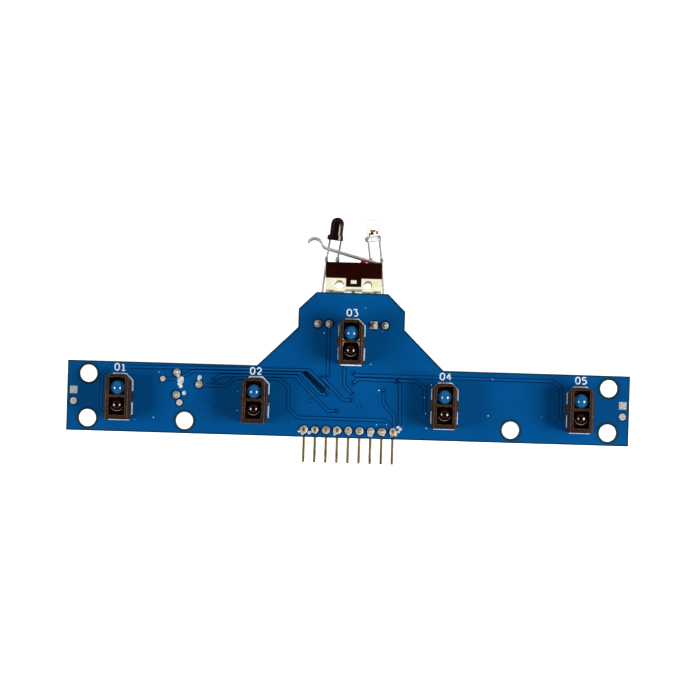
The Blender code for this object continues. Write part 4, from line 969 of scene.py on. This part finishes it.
# A little taller or shorter, wider or narrower, joint by joint
spread = add(
    joint_tree,
    "FunctionNodeRandomValue",
    {"Min": (0.92, 0.92, 0.85), "Max": (1.08, 1.08, 1.15)},
    {"Seed": given["Seed"]},
    data_type="FLOAT_VECTOR",
)
placed = add(
    joint_tree,
    "GeometryNodeInstanceOnPoints",
    links={
        "Points": given["Geometry"],
        "Instance": joint.outputs[0],
        "Rotation": given["Turn"],
        "Scale": spread.outputs[0],
    },
)
bumps = {"Scale": 1 / (0.9 * MM), "Detail": 2.0}
lumps = add(joint_tree, "ShaderNodeTexNoise", bumps, {"W": given["Seed"]}, noise_dimensions="4D")
close_uneven_tree(joint_tree, placed.outputs[0], lumps.outputs["Fac"], given)
print("joint tree", len(joint_tree.nodes), "nodes")

# %% [markdown]
# Every lead that comes through the board ends in a joint. The header's joints were made by hand and are the
# most uneven. Their places come from the solids of the pins and terminals.


# %% Joints on the sensor face
def points_mesh(points):
    """Loose points, for a tree that puts something on each."""
    mesh = bpy.data.meshes.new("points")
    mesh.from_pydata(points, [], [])
    return mesh


FACE_UP, FACE_DOWN = (0, 0, 0), (math.pi, 0, 0)
PIN_HALF = 0.32 * MM
header_tops = []
for n in range(1, 10):
    low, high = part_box(f"header_pin_{n}")
    header_tops.append(Vector(((low.x + high.x) / 2, high.y - PIN_HALF, FACE)))
HEADER_JOINT = {"Pad Radius": 0.9 * MM, "Height": 0.85 * MM, "Unevenness": 0.35 * MM, "Finish": flux_solder}
grow("header_joints", joint_tree, points_mesh(header_tops), {**HEADER_JOINT, "Turn": FACE_UP})
PITCH, SOLDERED_MIDDLE, LAMP_ROW_Y = 2.54, 0.25, 17.9
LAMP_HOLES = [(SOLDERED_MIDDLE + PITCH * i, LAMP_ROW_Y) for i in (-3, -2, 2, 3)]
LAMP_JOINT = {**HEADER_JOINT, "Pad Radius": 0.88 * MM, "Height": 0.95 * MM, "Unevenness": 0.2 * MM, "Seed": 9}
lamp_tops = [on_board(place) for place in LAMP_HOLES]
grow("lamp_joints", joint_tree, points_mesh(lamp_tops), {**LAMP_JOINT, "Turn": FACE_UP})
trimmer_tops = [middle_of(f"trimmer_terminal_{n}") for n in (1, 2, 3)]
for top in trimmer_tops:
    top.z = FACE
grow("trimmer_joints", joint_tree, points_mesh(trimmer_tops), {**LAMP_JOINT, "Seed": 15})

# %% [markdown]
# Around each joint the copper plane stops short of the pad, which leaves a dark ring. Six pads carry no
# lead: a square and a round one at each end, and two test pads near the trimmer. The clear lamp's first pad
# is square, to mark which way round it goes.

# %% Clearance rings and open pads
TRIMMER_HOLES = [on_drawing(top) for top in trimmer_tops]
HEADER_HOLES = [on_drawing(top) for top in header_tops]
SQUARE_HOLE = LAMP_HOLES[2]
END_PADS = [(-62.5, 1.25), (62.5, 1.25)]
ROUND_PADS = {(-62.5, -1.3): 0.8, (62.5, -1.3): 0.8, (-42.33, 4.32): 0.62, (-38.4, -1.0): 0.7}
JOINT_CLEARANCE, PAD_CLEARANCE, SQUARE_PAD = 1.08, 0.15, 1.7
clear = [ring_path(place, JOINT_CLEARANCE) for place in HEADER_HOLES + TRIMMER_HOLES + LAMP_HOLES]
clear += [ring_path(place, radius + PAD_CLEARANCE) for place, radius in ROUND_PADS.items()]
CLEARANCE = {**ETCH, "Width": 0.34 * MM, "Corner Radius": 0.0}
grow("pad_clearances", ribbon_tree, lines_mesh(clear, FACE + 0.5 * LAYER), CLEARANCE)
OPEN_PAD = {"Thickness": 3 * LAYER, "Corner Radius": 0.0, "Finish": pad_tin}
for i, (place, radius) in enumerate(ROUND_PADS.items(), 1):
    round_pad = lines_mesh([ring_path(place, radius / 2)], FACE + LAYER)
    grow(f"round_pad_{i}", ribbon_tree, round_pad, {**OPEN_PAD, "Width": radius * MM})
squares = [[(x - SQUARE_PAD / 2, y), (x + SQUARE_PAD / 2, y)] for x, y in END_PADS + [SQUARE_HOLE]]
SQUARE = {**OPEN_PAD, "Width": SQUARE_PAD * MM}
grow("square_pads", ribbon_tree, lines_mesh(squares, FACE + LAYER), SQUARE)

# %% [markdown]
# Hand soldering leaves white dried flux beside the joints. Small white specks over the board are spatter and
# painted glints together.
# One tree makes both. It puts squashed, uneven lumps on the points it is given, and on points scattered by
# a fixed seed over any faces it is given.

# %% The lump tree
lump_tree, given = new_tree(
    "lumps",
    {
        "Radius": ("Float", 0.3 * MM),
        "Flatness": ("Float", 0.3),
        "Unevenness": ("Float", 0.3 * MM),
        "Density": ("Float", 0.0),
        "Seed": ("Int", 3),
        "Finish": ("Material", None),
    },
)
# Points as they are given, or points scattered over faces where there are any
given_points = add(lump_tree, "GeometryNodeMeshToPoints", links={"Mesh": given["Geometry"]})
scattered = add(
    lump_tree,
    "GeometryNodeDistributePointsOnFaces",
    links={"Mesh": given["Geometry"], "Density": given["Density"], "Seed": given["Seed"]},
)
counted = add(lump_tree, "GeometryNodeAttributeDomainSize", links={"Geometry": given["Geometry"]})
face_count = {2: counted.outputs["Face Count"]}  # sockets 2 and 3 compare whole numbers
has_faces = add(lump_tree, "FunctionNodeCompare", {3: 0}, face_count, data_type="INT")
where = add(
    lump_tree,
    "GeometryNodeSwitch",
    links={
        "Switch": has_faces.outputs[0],
        "False": given_points.outputs[0],
        "True": scattered.outputs["Points"],
    },
    input_type="GEOMETRY",
)
ball = add(lump_tree, "GeometryNodeMeshIcoSphere", {"Subdivisions": 3}, {"Radius": given["Radius"]})
squash = add(lump_tree, "ShaderNodeCombineXYZ", {"X": 1.0, "Y": 1.0}, {"Z": given["Flatness"]})
SIZES = {2: 0.45, 3: 1.15}  # least and greatest share of the radius
size = add(lump_tree, "FunctionNodeRandomValue", SIZES, {"Seed": given["Seed"]}, data_type="FLOAT")
squashed = add(
    lump_tree,
    "ShaderNodeVectorMath",
    links={"Vector": squash.outputs[0], "Scale": size.outputs[1]},
    operation="SCALE",
)
copies = add(
    lump_tree,
    "GeometryNodeInstanceOnPoints",
    links={"Points": where.outputs[0], "Instance": ball.outputs[0], "Scale": squashed.outputs[0]},
)
rough = add(lump_tree, "ShaderNodeTexNoise", {"Scale": 1 / (0.5 * MM), "Detail": 3.0})
close_uneven_tree(lump_tree, copies.outputs[0], rough.outputs["Fac"], given)
print("lump tree", len(lump_tree.nodes), "nodes")

# %% [markdown]
# The flux lies in trails between the trimmer's joints and under the header's. The white specks, spatter and
# painted glints together, are scattered over the board, clear of the screw holes.

# %% Flux, spatter and painted glints
FLUX_STREAKS = [
    ((-38.7, 4.7), (-38.1, 4.4), (-38.6, 3.9), (-38.1, 3.7), (-38.5, 3.2), (-38.2, 2.7)),
    ((-33.9, 4.9), (-34.1, 4.5)),
    ((-37.4, 1.2),),
    ((11.6, -5.2), (12.0, -5.6), (11.6, -6.2), (11.0, -6.9)),
    ((5.6, -6.6), (5.1, -6.9), (5.5, -7.1)),
    ((-10.9, -6.7), (-10.3, -7.2), (-8.6, -7.0), (-7.2, -6.9), (-2.7, -7.0), (-2.9, -6.5), (0.4, -6.9)),
    ((8.2, -7.0), (10.1, -7.2)),
]
streaks = points_mesh([on_board(place) for streak in FLUX_STREAKS for place in streak])
FLUX = {"Radius": 0.5 * MM, "Flatness": 0.12, "Unevenness": 0.55 * MM, "Seed": 5, "Finish": flux}
grow("flux_residue", lump_tree, streaks, FLUX)
SPECK_AREAS = [(-55.0, -7.5, -41.0, 7.5), (-33.0, -7.5, 33.0, 7.5)]
SPECK_AREAS += [(41.0, -7.5, 55.0, 7.5), (-8.0, 8.0, 8.0, 23.0)]
corners = [
    on_board(place)
    for x0, y0, x1, y1 in SPECK_AREAS
    for place in ((x0, y0), (x1, y0), (x1, y1), (x0, y1))
]
area = bpy.data.meshes.new("spatter_area")
area.from_pydata(corners, [], [range(4 * i, 4 * i + 4) for i in range(len(SPECK_AREAS))])
# White specks in the ink finish: spatter, and painted glints as well
SPATTER_AND_GLINTS = {"Radius": 0.13 * MM, "Flatness": 0.4, "Unevenness": 0.1 * MM, "Density": 20000.0, "Seed": 8}
grow("white_specks_spatter_and_glints", lump_tree, area, {**SPATTER_AND_GLINTS, "Finish": ink})

# %% [markdown]
# A thin pale arc stands on the rear half of each dark dome, a little below its crown. It is a painted
# reflection, standing in for the light that the glossy rim of the dome reflects.

# %% Painted reflections on the dark domes
ARC_RADIUS, ARC_LEVEL, ARC_FROM, ARC_TO, ARC_STEPS = 1.44, 5.62, -165, -15, 16
arcs = []
for x, y in SENSORS:
    turns = [math.radians(ARC_FROM + (ARC_TO - ARC_FROM) * i / ARC_STEPS) for i in range(ARC_STEPS + 1)]
    centre_y = y + DOME_Y["detector"]
    arcs.append([(x + ARC_RADIUS * math.cos(a), centre_y + ARC_RADIUS * math.sin(a)) for a in turns])
# Painted reflection: a pale band laid on each dark dome
ARC = {"Width": 0.13 * MM, "Thickness": 0.12 * MM, "Corner Radius": 0.0, "Finish": rim_reflection_paint}
grow("painted_dome_rim_reflections", ribbon_tree, lines_mesh(arcs, FACE + ARC_LEVEL * MM), ARC)

# %% [markdown]
# ## The component face
# The four leads of each sensor come out on this side. Nobody has touched these joints, so they are clean
# and bright.

# %% Joints of the sensors
LEAD_X = 1.27
SENSOR_LEADS = [(x, y) for y in DOME_Y.values() for x in (-LEAD_X, LEAD_X)]
under = [on_board((x + a, y + b), UNDERSIDE) for x, y in SENSORS for a, b in SENSOR_LEADS]
UNDER_JOINT = {"Pad Radius": 0.8 * MM, "Height": 0.95 * MM, "Turn": FACE_DOWN, "Seed": 2, "Finish": solder}
grow("sensor_joints", joint_tree, points_mesh(under), UNDER_JOINT)

# %% [markdown]
# This side also carries the chip and the small parts. Pads, ink outlines and tracks are laid out from the
# places of the solids, so that each pad lies under its own part.

# %% Pads of the small parts
PAD_UNDER, PAD_BEYOND = 0.45, 0.35  # how far a pad runs under a part's end and out beyond it
OUTLINE_GAP = 0.35
part_pads, fillets, under_ink = [], [], []
for node in SMALL_PARTS:
    low, high = (on_drawing(corner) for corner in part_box(node))
    along = int(high[1] - low[1] > high[0] - low[0])
    centre = ((low[0] + high[0]) / 2, (low[1] + high[1]) / 2)
    for end, outward in ((low[along], -1), (high[along], 1)):
        inner, outer = list(centre), list(centre)
        inner[along], outer[along] = end - outward * PAD_UNDER, end + outward * PAD_BEYOND
        part_pads.append([tuple(inner), tuple(outer)])
        fillets.append(on_board([(a + 2 * b) / 3 for a, b in zip(inner, outer)], UNDERSIDE))
    beside = 1 - along
    for side in (low[beside] - OUTLINE_GAP, high[beside] + OUTLINE_GAP):
        start, stop = [0, 0], [0, 0]
        start[along], stop[along] = low[along], high[along]
        start[beside] = stop[beside] = side
        under_ink.append([tuple(start), tuple(stop)])
UNDER_PAD = {**OPEN_PAD, "Width": 1.4 * MM}
grow("small_part_pads", ribbon_tree, lines_mesh(part_pads, UNDERSIDE - LAYER), UNDER_PAD)

# %% [markdown]
# The chip stands on two rows of narrow pads, one for each lead.

# %% Pads of the chip
CHIP_PINS, CHIP_PITCH, CHIP_PAD_FROM, CHIP_PAD_TO = 7, 1.27, 2.3, 3.35
chip_x, chip_y = on_drawing(middle_of("logic_chip"))
chip_pads = []
for i in range(CHIP_PINS):
    x = chip_x + (i - (CHIP_PINS - 1) / 2) * CHIP_PITCH
    chip_pads += [[(x, chip_y + side * CHIP_PAD_FROM), (x, chip_y + side * CHIP_PAD_TO)] for side in (-1, 1)]
CHIP_PAD = {**OPEN_PAD, "Width": 0.62 * MM}
grow("chip_pads", ribbon_tree, lines_mesh(chip_pads, UNDERSIDE - LAYER), CHIP_PAD)

# %% [markdown]
# A small part is held by a little solder at each end. The switch hangs on three flat tails, and each of them
# lies in a generous pool of solder.

# %% Solder on the small parts and the switch's tails
FILLET = {"Radius": 0.5 * MM, "Flatness": 0.45, "Unevenness": 0.08 * MM, "Seed": 12, "Finish": solder}
grow("small_part_fillets", lump_tree, points_mesh(fillets), FILLET)
TAIL_SOLDER_Y, TAIL_HALF_WIDTH, TAIL_SOLDER_DEPTH = (22.3, 22.9), 0.45, 0.15 * MM
tails = []
for kind in ("closed", "open", "common"):
    low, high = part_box(f"switch_terminal_{kind}")
    tail_x = on_drawing(low)[0] + TAIL_HALF_WIDTH
    tails += [on_board((tail_x, y), UNDERSIDE - TAIL_SOLDER_DEPTH) for y in TAIL_SOLDER_Y]
TAIL = {**FILLET, "Radius": 1.15 * MM, "Unevenness": 0.2 * MM, "Seed": 3}
grow("switch_tail_solder", lump_tree, points_mesh(tails), TAIL)

# %% [markdown]
# One long track joins the two outer sensors. It passes in front of the inner screw holes and behind the
# chip. Short tracks leave the switch, the header and the trimmer, and two leave each sensor for its parts.

# %% Tracks on the component face
BUS_BENDS = [(34.6, DOME_Y["detector"]), (32.95, -3.4)]
left_end = (SENSORS[0][0] + LEAD_X, DOME_Y["detector"])
right_end = (SENSORS[4][0] - LEAD_X, DOME_Y["detector"])
bus = [left_end, *[(-x, y) for x, y in BUS_BENDS], *BUS_BENDS[::-1], right_end]
UNDER_TRACKS = [
    bus,
    [(-4.63, 21.8), (-4.63, 18.5), (-9.1, 14.0), (-9.1, 12.4)],
    [(5.53, 21.8), (5.53, 20.0), (9.6, 16.0), (9.6, 12.2)],
    [(0.45, 21.8), (0.45, 18.8), (2.9, 16.3), (2.9, 8.4), (2.3, 6.9)],
    [(-39.1, 0.8), (-38.0, -0.3), (-28.9, -0.3), (-27.9, 0.7)],
    [(-34.1, 3.3), (-31.4, 6.0), (-26.0, 6.0)],
    [(-7.4, -5.8), (-7.4, -3.0), (-3.0, 1.2)],
    [(7.8, -5.8), (7.8, -1.8), (5.0, 1.0)],
]
SENSOR_BRANCHES = [[(LEAD_X, 2.1), (4.6, 2.1), (6.2, 0.9)], [(-LEAD_X, 2.1), (-2.2, 3.6), (-0.9, 6.2)]]
for n, (x, y) in enumerate(SENSORS, 1):
    side = 1 if n <= 3 else -1
    UNDER_TRACKS += [[(x + side * a, y + b) for a, b in branch] for branch in SENSOR_BRANCHES]
under_gaps = lines_mesh(UNDER_TRACKS, UNDERSIDE)
grow("under_etched_gaps", ribbon_tree, under_gaps, ETCH)
grow("under_tracks", ribbon_tree, lines_mesh(UNDER_TRACKS, UNDERSIDE - LAYER), COPPER)

# %% [markdown]
# The ink on this side is finer. It frames the trimmer and the header and marks both ends of the chip.


# %% Ink on the component face
def frame_path(node, margin):
    """A closed box around a solid, with a margin in millimetres."""
    low, high = (on_drawing(corner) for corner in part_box(node))
    x0, y0, x1, y1 = low[0] - margin, low[1] - margin, high[0] + margin, high[1] + margin
    return [(x0, y0), (x1, y0), (x1, y1), (x0, y1), (x0, y0)]


under_ink += [frame_path("trimmer_body", 0.3), frame_path("header_body", 0.25)]
CHIP_END_X, CHIP_END_Y = 4.7, 1.9
for x in (chip_x - CHIP_END_X, chip_x + CHIP_END_X):
    under_ink.append([(x, chip_y - CHIP_END_Y), (x, chip_y + CHIP_END_Y)])
UNDER_OUTLINE = {**OUTLINE, "Width": 0.2 * MM}
UNDER_INK_LEVEL = UNDERSIDE - 2.5 * LAYER
grow("under_outlines", ribbon_tree, lines_mesh(under_ink, UNDER_INK_LEVEL), UNDER_OUTLINE)
